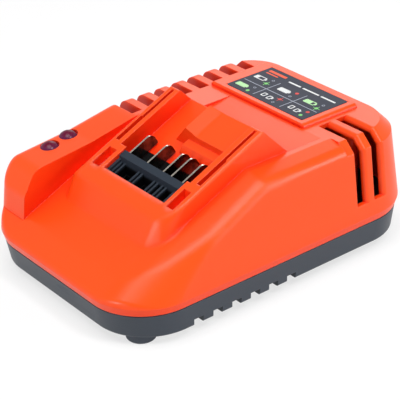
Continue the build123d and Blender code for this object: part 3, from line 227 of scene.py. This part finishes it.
def front_softness(tree):
    """Extra edge rounding on the housing's front deck, dock front and right shoulder."""
    place = components(tree, object_place(tree))
    in_front = math_node(tree, "MULTIPLY", spread(tree, place["Y"], *FRONT_Y, 1.0, 0.0),
                         spread(tree, place["X"], *FRONT_X, 0.0, 1.0))
    on_right = math_node(tree, "MULTIPLY", spread(tree, place["X"], *RIGHT_X, 0.0, 1.0),
                         spread(tree, place["Y"], *RIGHT_Y, 1.0, 0.0))
    above = spread(tree, place["Z"], *ABOVE_Z, 0.0, SOFT_RADIUS)
    return math_node(tree, "MULTIPLY", math_node(tree, "MAXIMUM", in_front, on_right), above)


RECESS_SHADE_REACH = 0.03                     # painted shade in recesses: how far the occlusion looks for open air, and the shares of open air where the painted shade is full and gone
RECESS_SHADE_OPEN = (0.45, 0.95)
WORN_FADE = 0.45                        # how far wear and scuffs pale the colour
SCUFF_FADE = 0.12
MOTTLE_ROUGHNESS = 0.06                 # what each mask adds to the roughness
SCUFF_ROUGHNESS = 0.12
WORN_ROUGHNESS = -0.08


def moulded_material(name, colour, lighter, roughness, radius=0.4, bump=0.3, variation=0.06,
                     soft_front=False, recess_shade=None, specular=None):
    """Moulded plastic or rubber: slight mottling, paler worn edges, fine scuffs, soft edges, and, where a
    recess colour is given, painted shade in recesses.
    """
    material, tree, shader = new_material(name)
    surface = moulded_surface(tree, radius, grain=2500.0, depth=0.01, bump=bump)
    if soft_front:
        link(tree, front_softness(tree), surface.inputs["Soft Radius"])
    darker = tuple(channel * (1.0 - variation) for channel in colour)
    base = blend_colours(tree, surface.outputs["Mottle"], darker, colour)
    faded = math_node(tree, "MULTIPLY", surface.outputs["Edge"], WORN_FADE)
    base = blend_colours(tree, faded, base, lighter)
    rubbed = math_node(tree, "MULTIPLY", surface.outputs["Scuffs"], SCUFF_FADE)
    base = blend_colours(tree, rubbed, base, lighter)
    if recess_shade:
        # Painted shade: the colour turns to the given deeper shade colour where the occlusion finds little
        # open air.
        open_air = add_node(tree, "ShaderNodeAmbientOcclusion", samples=8)
        set_values(open_air, {"Distance": RECESS_SHADE_REACH})
        painted_recess_shade = spread(tree, open_air.outputs["AO"], *RECESS_SHADE_OPEN, 1.0, 0.0)
        base = blend_colours(tree, painted_recess_shade, base, recess_shade)
    link(tree, base, shader.inputs["Base Color"])
    rough = math_node(tree, "MULTIPLY_ADD", surface.outputs["Mottle"], MOTTLE_ROUGHNESS,
                      roughness - MOTTLE_ROUGHNESS / 2)
    rough = math_node(tree, "MULTIPLY_ADD", surface.outputs["Scuffs"], SCUFF_ROUGHNESS, rough)
    rough = math_node(tree, "MULTIPLY_ADD", surface.outputs["Edge"], WORN_ROUGHNESS, rough, clamp=True)
    link(tree, rough, shader.inputs["Roughness"])
    link(tree, surface.outputs["Normal"], shader.inputs["Normal"])
    if specular is not None:
        set_values(shader, {"Specular IOR Level": specular})
    return material


DOCK_SLOPE = 0.4515                     # the dock's top plane: rise per length,
DOCK_TOP = 0.0734                       # and height over the origin
WELL_DROP = (0.0037, 0.005)             # how far below it the painted shade of the block's wells begins and is full


def deep_nylon_material(name, colour, deep):
    """Glass-filled nylon with painted shade: it darkens below the dock's inclined top, in the block's wells.
    """
    material, tree, shader = new_material(name)
    surface = moulded_surface(tree, radius=0.2, grain=1800.0, depth=0.006, bump=0.2)
    place = components(tree, object_place(tree))
    top = math_node(tree, "MULTIPLY_ADD", place["Y"], DOCK_SLOPE, DOCK_TOP)
    drop = math_node(tree, "SUBTRACT", top, place["Z"])
    # Painted shade: the colour goes to the near-black shade colour as the surface sinks below the dock's top
    # into the wells.
    painted_well_shade = spread(tree, drop, *WELL_DROP, 0.0, 1.0)
    base = blend_colours(tree, painted_well_shade, colour, deep)
    pale = tuple(2.2 * channel for channel in colour)
    worn = math_node(tree, "MULTIPLY", surface.outputs["Edge"], 0.5)
    faded = math_node(tree, "MULTIPLY", worn, math_node(tree, "SUBTRACT", 1.0, painted_well_shade))
    link(tree, blend_colours(tree, faded, base, pale), shader.inputs["Base Color"])
    link(tree, spread(tree, surface.outputs["Mottle"], 0.0, 1.0, 0.4, 0.5), shader.inputs["Roughness"])
    link(tree, surface.outputs["Normal"], shader.inputs["Normal"])
    set_values(shader, {"Specular IOR Level": 0.15})
    return material


DRAW_LINES = (40.0, 1400.0, 1400.0)     # the lines' scale along X, Y and Z


def metal_material(name, colour, tarnish, roughness):
    """Rolled or plated metal with fine draw lines and a little tarnish."""
    material, tree, shader = new_material(name)
    surface = moulded_surface(tree, radius=0.15, grain=3000.0, depth=0.003, bump=0.15)
    streak = stretched_noise(tree, DRAW_LINES)
    dull = math_node(tree, "MULTIPLY", spread(tree, streak, 0.35, 0.7, 0.0, 1.0), surface.outputs["Mottle"])
    link(tree, blend_colours(tree, dull, colour, tarnish), shader.inputs["Base Color"])
    rough = math_node(tree, "MULTIPLY_ADD", streak, 0.18, roughness - 0.06)
    link(tree, math_node(tree, "MULTIPLY_ADD", surface.outputs["Edge"], -0.06, rough, clamp=True),
         shader.inputs["Roughness"])
    link(tree, surface.outputs["Normal"], shader.inputs["Normal"])
    set_values(shader, {"Metallic": 1.0})
    return material


def stamped_contact_material(name, cut_edge, flat, tarnish):
    """Stamped strip: bright sheared edges, and flats that face along X painted dark with cloudy darker
    patches, a painted reflection of the dark parts they mirror.
    """
    material, tree, shader = new_material(name)
    place = object_place(tree)
    facing = components(tree, add_node(tree, "ShaderNodeNewGeometry").outputs["True Normal"])
    is_flat = spread(tree, math_node(tree, "ABSOLUTE", facing["X"]), 0.7, 0.9, 0.0, 1.0)
    # Painted reflection: the flats get dark colours that stand for the dark block and pocket they mirror; the
    # cloudy blend between the two dark colours is random.
    cloudy = spread(tree, noise(tree, place, 260.0, 4.0), 0.4, 0.65, 0.0, 1.0)
    face = blend_colours(tree, cloudy, flat, tarnish)
    link(tree, blend_colours(tree, is_flat, cut_edge, face), shader.inputs["Base Color"])
    rough = spread(tree, noise(tree, place, 500.0, 2.0), 0.3, 0.7, 0.2, 0.3)
    link(tree, math_node(tree, "MULTIPLY_ADD", is_flat, -0.04, rough), shader.inputs["Roughness"])
    set_values(shader, {"Metallic": 1.0})
    return material


def lens_material(name, middle, painted_rim_sheen):
    """Tinted lens plastic over an unlit lamp: deep colour, with a painted violet sheen where the dome falls
    to its edge, and random cloudy patches of that violet.
    """
    material, tree, shader = new_material(name)
    facing = components(tree, add_node(tree, "ShaderNodeNewGeometry").outputs["Normal"])
    # Painted sheen: the colour turns violet as the dome's normal tilts away from up, towards its edge.
    base = blend_colours(tree, spread(tree, facing["Z"], 0.45, 0.95, 1.0, 0.0), middle, painted_rim_sheen)
    place = object_place(tree)
    cloudy = spread(tree, noise(tree, place, 400.0, 3.0), 0.35, 0.65, 0.0, 0.3)
    link(tree, blend_colours(tree, cloudy, base, painted_rim_sheen), shader.inputs["Base Color"])
    link(tree, spread(tree, noise(tree, place, 900.0, 2.0), 0.3, 0.7, 0.22, 0.3), shader.inputs["Roughness"])
    set_values(shader, {"Specular IOR Level": 0.22})
    return material


WAVE_LENGTH = 0.314                     # of the wave texture at scale 1


def wound_wire_material(name, colour, gap, pitch, axis):
    """Enamelled wire laid turn by turn: a fine rib across the winding."""
    material, tree, shader = new_material(name)
    place = object_place(tree)
    turns = add_node(tree, "ShaderNodeTexWave", wave_type="BANDS", bands_direction=axis)
    set_values(turns, {"Scale": WAVE_LENGTH / (pitch * MM), "Distortion": 0.4})
    link(tree, place, turns.inputs["Vector"])
    link(tree, blend_colours(tree, turns.outputs["Fac"], gap, colour), shader.inputs["Base Color"])
    bump = add_node(tree, "ShaderNodeBump")
    set_values(bump, {"Strength": 0.8, "Distance": 0.2 * MM})
    link(tree, turns.outputs["Fac"], bump.inputs["Height"])
    link(tree, bump.outputs["Normal"], shader.inputs["Normal"])
    link(tree, spread(tree, noise(tree, place, 300.0), 0.3, 0.7, 0.22, 0.4), shader.inputs["Roughness"])
    set_values(shader, {"Metallic": 0.35, "Coat Weight": 0.3})
    return material


# ---- Finishes -------------------------------------------------------------------------------
def ink_material(name, colour, lighter):
    return moulded_material(name, colour, lighter, 0.5, radius=0.02, bump=0.1)


# The housing's recess colour is painted shade: a deeper red in its recesses.
ORANGE = moulded_material("orange housing plastic", (1.0, 0.078, 0.006), (1.0, 0.14, 0.04), 0.31,
                          radius=0.55, bump=0.25, variation=0.03, soft_front=True, specular=0.32,
                          recess_shade=(0.9, 0.03, 0.003))
GREY = moulded_material("grey base plastic", (0.032, 0.042, 0.058), (0.1, 0.125, 0.16), 0.4, bump=0.4)
FOOT_RUBBER = moulded_material("grey foot rubber", (0.04, 0.05, 0.068), (0.1, 0.12, 0.15), 0.6, bump=0.5)
INLET_RUBBER = moulded_material("black inlet rubber", (0.022, 0.023, 0.026), (0.07, 0.07, 0.075), 0.6,
                                bump=0.5)
NYLON = moulded_material("black terminal nylon", (0.028, 0.036, 0.05), (0.09, 0.11, 0.14), 0.45, radius=0.2)
# The terminal block's second colour is the painted shade of its wells.
TERMINAL_NYLON = deep_nylon_material("slate terminal nylon", (0.025, 0.034, 0.048), (0.002, 0.0025, 0.003))
INSULATION = moulded_material("lead insulation", (0.45, 0.03, 0.025), (0.6, 0.1, 0.08), 0.45, radius=0.1)
CONNECTOR = moulded_material("connector plastic", (0.03, 0.22, 0.09), (0.1, 0.35, 0.18), 0.42, radius=0.2)
LAMINATE = moulded_material("board laminate", (0.02, 0.16, 0.06), (0.2, 0.3, 0.16), 0.38, radius=0.1,
                            variation=0.25)
FERRITE = moulded_material("sintered ferrite", (0.05, 0.05, 0.055), (0.13, 0.13, 0.14), 0.6, radius=0.3,
                           bump=0.7)
FILM = moulded_material("label film", (0.046, 0.05, 0.07), (0.08, 0.09, 0.11), 0.45, radius=0.05, bump=0.1,
                        specular=0.08)
ORANGE_INK = ink_material("orange ink", (0.9, 0.09, 0.02), (1.0, 0.3, 0.2))
LINE_INK = ink_material("pale blue line ink", (0.34, 0.37, 0.45), (0.5, 0.52, 0.58))
LIME_INK = ink_material("pale green ink", (0.5, 0.85, 0.42), (0.6, 0.9, 0.5))
WHITE_INK = ink_material("white ink", (0.8, 0.82, 0.82), (0.9, 0.9, 0.9))
GREEN_INK = ink_material("green ink", (0.2, 0.62, 0.16), (0.3, 0.7, 0.3))
RED_INK = ink_material("red ink", (0.7, 0.03, 0.02), (0.8, 0.2, 0.15))
# The contacts' second and third colours are the painted dark reflection on their flats.
CONTACT = stamped_contact_material("tinned contact metal", (0.85, 0.78, 0.68), (0.16, 0.14, 0.13),
                                   (0.05, 0.045, 0.045))
ZINC = metal_material("zinc plated steel", (0.6, 0.61, 0.63), (0.38, 0.39, 0.41), 0.34)
ALUMINIUM = metal_material("drawn aluminium", (0.72, 0.73, 0.75), (0.5, 0.51, 0.53), 0.36)
COPPER = wound_wire_material("enamelled copper wire", (0.62, 0.24, 0.08), (0.12, 0.04, 0.02), 0.5, "Z")
CHOKE_COPPER = wound_wire_material("choke wire", (0.6, 0.22, 0.07), (0.12, 0.04, 0.02), 0.9, "X")
# The lens's second colour is the painted violet sheen at its edge.
LENS = lens_material("red lens plastic", (0.13, 0.004, 0.02), (0.1, 0.016, 0.07))
LAMP = moulded_material("lamp epoxy", (0.6, 0.02, 0.02), (0.8, 0.1, 0.1), 0.15, radius=0.1, bump=0.02)
GLASS = moulded_material("fuse glass", (0.75, 0.8, 0.8), (0.9, 0.9, 0.9), 0.1, radius=0.05, bump=0.0)

FINISHES = {
    "upper_housing": ORANGE, "lower_housing": GREY, "rubber_feet": FOOT_RUBBER,
    "cord_inlet_bushing": INLET_RUBBER, "housing_screws": ZINC, "circuit_board_screws": ZINC,
    "indicator_board_screws": ZINC, "terminal_block_screws": ZINC, "terminal_block": TERMINAL_NYLON,
    "terminal_leads": INSULATION, "indicator_leads": INSULATION, "positive_blade": CONTACT,
    "sense_blade": CONTACT, "thermistor_blade": CONTACT, "identity_blade": CONTACT,
    "negative_blade": CONTACT, "instruction_label": FILM, "power_indicator_lens": LENS,
    "charge_indicator_lens": LENS, "indicator_lamps": LAMP, "indicator_board": LAMINATE,
    "circuit_board": LAMINATE, "transformer_core": FERRITE, "transformer_bobbin": NYLON,
    "transformer_winding": COPPER, "input_capacitor": ALUMINIUM, "output_capacitors": ALUMINIUM,
    "line_choke_core": FERRITE, "line_choke_windings": CHOKE_COPPER, "heat_sink": ALUMINIUM,
    "power_transistor": NYLON, "output_rectifier": NYLON, "bridge_rectifier": NYLON,
    "mains_connector": CONNECTOR, "fuse": GLASS, "fuse_clips": CONTACT, "controller_chip": NYLON,
}

for node_name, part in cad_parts.items():
    part.data.materials.clear()
    part.data.materials.append(FINISHES[node_name])
    for face in part.data.polygons:
        face.material_index = 0


# ---- Modelling helpers ----------------------------------------------------------------------
def deselect_all():
    if bpy.context.object and bpy.context.object.mode != "OBJECT":
        bpy.ops.object.mode_set(mode="OBJECT")
    bpy.ops.object.select_all(action="DESELECT")


def make_only(piece):
    deselect_all()
    piece.select_set(True)
    bpy.context.view_layer.objects.active = piece


def apply_place(piece):
    """The place goes into the mesh; the object ends up at the origin."""
    make_only(piece)
    bpy.ops.object.transform_apply(location=True, rotation=True, scale=True)


def dress(piece, name, material):
    piece.name = name
    piece.data.name = name
    piece.data.materials.clear()
    piece.data.materials.append(material)
    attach(piece, "root")
    return piece


def joined(pieces):
    make_only(pieces[0])
    for piece in pieces:
        piece.select_set(True)
    bpy.ops.object.join()
    return bpy.context.object


# ---- Printing on the label ------------------------------------------------------------------
INK_HEIGHT = 0.04
INK_GAP = 0.1                           # between a battery's outline and its fill or terminal
LABEL_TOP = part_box("instruction_label")[1][2] / MM
SMALL_CORNER = 0.1
BAR_CORNER = 0.3

BATTERY_LENGTH = 7.2
BATTERY_WIDTH = 3.4
BATTERY_STROKE = 0.55
BATTERY_CORNER = 0.6
TERMINAL_LENGTH = 0.7
TERMINAL_WIDTH = 1.5
TERMINAL_CORNER = 0.15
HALF_LENGTH = 2.7                       # a broken battery's halves, and how far they are moved
HALF_CORNER = 0.5
HALF_OFFSET = (2.25, 0.3)

RING_RADIUS = 0.8
RING_STROKE = 0.28
DOT_RADIUS = 1.0
RAY_REACH = 1.75                        # from the dot's middle to a ray's
RAY_WIDTH = 0.35
RAY_LENGTH = 0.95

LINE_WIDTH = 0.45
ROW_LINE = (-1.4, 51.0, 52.4)           # x, y and length of the chart's lines
COLUMN_LINES = tuple((x, y, length) for x in (-11.3, 8.2) for y, length in ((46.5, 8.4), (55.8, 9.0)))
ORANGE_BARS = ((-20.2, 66.6, 12.6, 1.9), (-21.8, 64.0, 8.6, 0.9))   # x, y, width and height
WHITE_BARS = ((-5.6, 64.6, 8.6, 1.1), (6.0, 64.6, 11.4, 1.1), (18.2, 64.6, 10.0, 1.1))

FRONT_LAMP = (7.2, -2.5)                # the lamp signs' places beside their battery
BACK_LAMP = (7.2, 2.1)
SIGNS = (                               # x, y, ink, charge, whole, front lamp, back lamp
    (-23.2, 57.6, "white", 0.35, True, "blinks", "dark"),
    (-4.2, 56.2, "white", 1.0, True, "dark", "lit"),
    (14.3, 56.4, "pale_green", 0.7, True, "blinks", "dark"),
    (-23.4, 45.7, "pale_green", 1.0, True, "lit", "dark"),
    (-4.9, 45.8, "white", 0.0, False, "dark", "blinks"),
    (14.6, 46.0, "white", 0.0, False, "lit", "lit"))


def cut_open(line):
    """In edit mode: keep only a band of this width inside the patch's outline."""
    if line:
        bpy.ops.mesh.select_all(action="SELECT")
        bpy.ops.mesh.inset(thickness=line * MM)
        bpy.ops.mesh.delete(type="FACE")
    bpy.ops.object.mode_set(mode="OBJECT")


def outline_patch(x, y, width, length, corner, line=0.0):
    """A flat rectangle with rounded corners on the label; with a line width, only its outline."""
    deselect_all()
    bpy.ops.mesh.primitive_plane_add(size=1.0, location=(x * MM, y * MM, LABEL_TOP * MM))
    piece = bpy.context.object
    piece.scale = (width * MM, length * MM, 1.0)
    apply_place(piece)
    bpy.ops.object.mode_set(mode="EDIT")
    bpy.ops.mesh.select_all(action="SELECT")
    bpy.ops.mesh.bevel(offset=corner * MM, segments=3, affect="VERTICES")
    cut_open(line)
    return piece


def round_patch(x, y, radius, line=0.0):
    """A flat dot on the label; with a line width, a ring."""
    deselect_all()
    bpy.ops.mesh.primitive_circle_add(vertices=20, radius=radius * MM, fill_type="NGON",
                                      location=(x * MM, y * MM, LABEL_TOP * MM))
    piece = bpy.context.object
    apply_place(piece)
    bpy.ops.object.mode_set(mode="EDIT")
    cut_open(line)
    return piece


def printed(pieces, name, material):
    """The patches of one ink joined and given the ink's height."""
    piece = joined(pieces)
    layer = piece.modifiers.new("ink height", "SOLIDIFY")
    layer.thickness = INK_HEIGHT * MM
    layer.offset = 1.0
    bpy.ops.object.modifier_apply(modifier=layer.name)
    return dress(piece, name, material)


def battery_sign(x, y, charge, whole):
    """A small battery: outline and terminal, filled from the left to its charge, or broken in two."""
    end = BATTERY_LENGTH / 2
    signs = [outline_patch(x + end + INK_GAP + TERMINAL_LENGTH / 2, y, TERMINAL_LENGTH, TERMINAL_WIDTH,
                           TERMINAL_CORNER)]
    if whole:
        signs.append(outline_patch(x, y, BATTERY_LENGTH, BATTERY_WIDTH, BATTERY_CORNER, BATTERY_STROKE))
    else:
        for side in (-1, 1):
            signs.append(outline_patch(x + side * HALF_OFFSET[0], y - side * HALF_OFFSET[1], HALF_LENGTH,
                                       BATTERY_WIDTH, HALF_CORNER, BATTERY_STROKE))
    if charge:
        margin = BATTERY_STROKE + INK_GAP
        filled = charge * (BATTERY_LENGTH - 2 * margin)
        signs.append(outline_patch(x - end + margin + filled / 2, y, filled, BATTERY_WIDTH - 2 * margin,
                                   SMALL_CORNER))
    return signs


def lamp_sign(x, y, state):
    """An indicator: a ring when dark, a dot when lit, a dot with short rays when it blinks."""
    if state == "dark":
        return [round_patch(x, y, RING_RADIUS, RING_STROKE)]
    signs = [round_patch(x, y, DOT_RADIUS)]
    if state == "blinks":
        for across, along in ((1, 0), (-1, 0), (0, 1), (0, -1)):
            width, length = (RAY_LENGTH, RAY_WIDTH) if across else (RAY_WIDTH, RAY_LENGTH)
            signs.append(outline_patch(x + RAY_REACH * across, y + RAY_REACH * along, width, length,
                                       SMALL_CORNER))
    return signs


inks = {"lines": [], "white": [], "pale_green": [], "green": [], "red": [], "orange": []}
line_x, line_y, line_length = ROW_LINE
inks["lines"].append(outline_patch(line_x, line_y, line_length, LINE_WIDTH, SMALL_CORNER))
for line_x, line_y, line_length in COLUMN_LINES:
    inks["lines"].append(outline_patch(line_x, line_y, LINE_WIDTH, line_length, SMALL_CORNER))
for ink, bars in (("orange", ORANGE_BARS), ("white", WHITE_BARS)):
    for bar in bars:
        inks[ink].append(outline_patch(*bar, BAR_CORNER))
for x, y, ink, charge, whole, front, back in SIGNS:
    inks[ink].extend(battery_sign(x, y, charge, whole))
    for (across, along), state, lit_ink in ((FRONT_LAMP, front, "green"), (BACK_LAMP, back, "red")):
        inks["lines" if state == "dark" else lit_ink].extend(lamp_sign(x + across, y + along, state))
for ink, material in (("lines", LINE_INK), ("white", WHITE_INK), ("pale_green", LIME_INK),
                      ("green", GREEN_INK), ("red", RED_INK), ("orange", ORANGE_INK)):
    printed(inks[ink], "label_" + ink + "_print", material)


# ---- Camera, light and floor ----------------------------------------------------------------
AZIMUTH = math.radians(52.14)
ELEVATION = math.radians(28.85)
ROLL = math.radians(-1.924)
FOCAL_LENGTH = 133.8
SENSOR_WIDTH = 36.0
CAMERA_PLACE = Vector((0.49006, -0.38202, 0.36584))

ROOM_LIGHT = 0.4                        # the world's strength for light, and for reflections
GLOSS_LIGHT = 0.7
FRONT_SHADE = 0.3                       # how dark the world is behind the camera and overhead
CEILING_SHADE = 0.35
LAMP_TARGET = (0, 0, 0.03)
LAMPS = (                               # name, place, size, watts
    ("overhead softbox", (0.15, -0.35, 1.7), 1.1, 20.0),
    ("front softbox", (0.15, -1.45, 0.32), 0.35, 7.0),
    ("low right softbox", (1.25, 0.85, 0.25), 0.8, 13.0),
    ("rear left softbox", (-1.0, 1.0, 0.85), 0.6, 2.5),
    ("upper right softbox", (0.75, 0.12, 1.2), 0.2, 5.5))

FLOOR_RADIUS = 4.0
FLOOR_DROP = 0.05 * MM                  # keeps the feet's soles off the floor's plane
FLOOR_GLOW = 0.7                        # the glowing share of the floor, seen directly
FLOOR_GLOSS = 0.5                       # and in reflections


def aim_camera():
    back = Vector((math.sin(AZIMUTH) * math.cos(ELEVATION), -math.cos(AZIMUTH) * math.cos(ELEVATION),
                   math.sin(ELEVATION))).normalized()
    right = Vector((math.cos(AZIMUTH), math.sin(AZIMUTH), 0.0))
    up = back.cross(right)
    turned_right = right * math.cos(ROLL) + up * math.sin(ROLL)
    turned_up = up * math.cos(ROLL) - right * math.sin(ROLL)
    data = bpy.data.cameras.new("studio camera")
    data.sensor_width = SENSOR_WIDTH
    data.lens = FOCAL_LENGTH
    data.clip_start = 0.01
    data.clip_end = 50.0
    camera = bpy.data.objects.new("studio camera", data)
    bpy.context.scene.collection.objects.link(camera)
    turn = Matrix((turned_right, turned_up, back)).transposed()
    camera.matrix_world = Matrix.Translation(CAMERA_PLACE) @ turn.to_4x4()
    bpy.context.scene.camera = camera


def soft_lamp(name, place, size, power):
    data = bpy.data.lights.new(name, "AREA")
    data.shape = "SQUARE"
    data.size = size
    data.energy = power
    lamp = bpy.data.objects.new(name, data)
    bpy.context.scene.collection.objects.link(lamp)
    lamp.location = place
    lamp.rotation_euler = (Vector(LAMP_TARGET) - Vector(place)).to_track_quat("-Z", "Y").to_euler()


def seen_directly(tree, path):
    """1 for what the camera sees, also through glass, and 0 for light and reflections."""
    return math_node(tree, "MAXIMUM", path.outputs["Is Camera Ray"], path.outputs["Is Transmission Ray"])


def white_world():
    """Plain white for the camera, and a dimmer room for light and reflections."""
    world = bpy.data.worlds.new("white studio")
    bpy.context.scene.world = world
    world.use_nodes = True
    tree = world.node_tree
    surroundings = tree.nodes["Background"]
    set_values(surroundings, {"Color": (1.0, 1.0, 1.0, 1.0)})
    path = add_node(tree, "ShaderNodeLightPath")
    direction = add_node(tree, "ShaderNodeTexCoord").outputs["Generated"]
    toward = add_node(tree, "ShaderNodeVectorMath", operation="DOT_PRODUCT")
    link(tree, direction, toward.inputs[0])
    toward.inputs[1].default_value = (math.sin(AZIMUTH), -math.cos(AZIMUTH), 0.0)
    behind_camera = spread(tree, toward.outputs["Value"], 0.1, 0.9, 1.0, FRONT_SHADE)
    overhead = spread(tree, components(tree, direction)["Z"], 0.5, 0.75, 1.0, CEILING_SHADE)
    shade = math_node(tree, "MULTIPLY", behind_camera, overhead)
    level = math_node(tree, "MULTIPLY_ADD", path.outputs["Is Glossy Ray"], GLOSS_LIGHT - ROOM_LIGHT,
                      ROOM_LIGHT)
    room = math_node(tree, "MULTIPLY", shade, level)
    link(tree, math_node(tree, "MAXIMUM", seen_directly(tree, path), room), surroundings.inputs["Strength"])


def studio_floor():
    """A pale floor that catches shadows and fades into the white behind it."""
    deselect_all()
    bpy.ops.mesh.primitive_circle_add(vertices=96, radius=FLOOR_RADIUS, fill_type="NGON",
                                      location=(0, 0, -FLOOR_DROP))
    floor = bpy.context.object
    floor.name = "studio floor"
    material, tree, shader = new_material("pale floor")
    set_values(shader, {"Roughness": 0.9, "Specular IOR Level": 0.1})
    glow = add_node(tree, "ShaderNodeEmission")
    set_values(glow, {"Color": (1.0, 1.0, 1.0, 1.0), "Strength": 1.0})
    path = add_node(tree, "ShaderNodeLightPath")
    seen = seen_directly(tree, path)
    link(tree, blend_colours(tree, seen, (0.65, 0.65, 0.65), (0.95, 0.95, 0.95)), shader.inputs["Base Color"])
    mix = add_node(tree, "ShaderNodeMixShader")
    glossy = math_node(tree, "MULTIPLY", path.outputs["Is Glossy Ray"], FLOOR_GLOSS)
    link(tree, math_node(tree, "MULTIPLY_ADD", seen, FLOOR_GLOW, glossy), mix.inputs[0])
    link(tree, shader.outputs[0], mix.inputs[1])
    link(tree, glow.outputs[0], mix.inputs[2])
    link(tree, mix.outputs[0], tree.nodes["Material Output"].inputs["Surface"])
    floor.data.materials.append(material)


bpy.context.scene.view_settings.view_transform = "Standard"
aim_camera()
white_world()
studio_floor()
for lamp_name, place, size, power in LAMPS:
    soft_lamp(lamp_name, place, size, power)
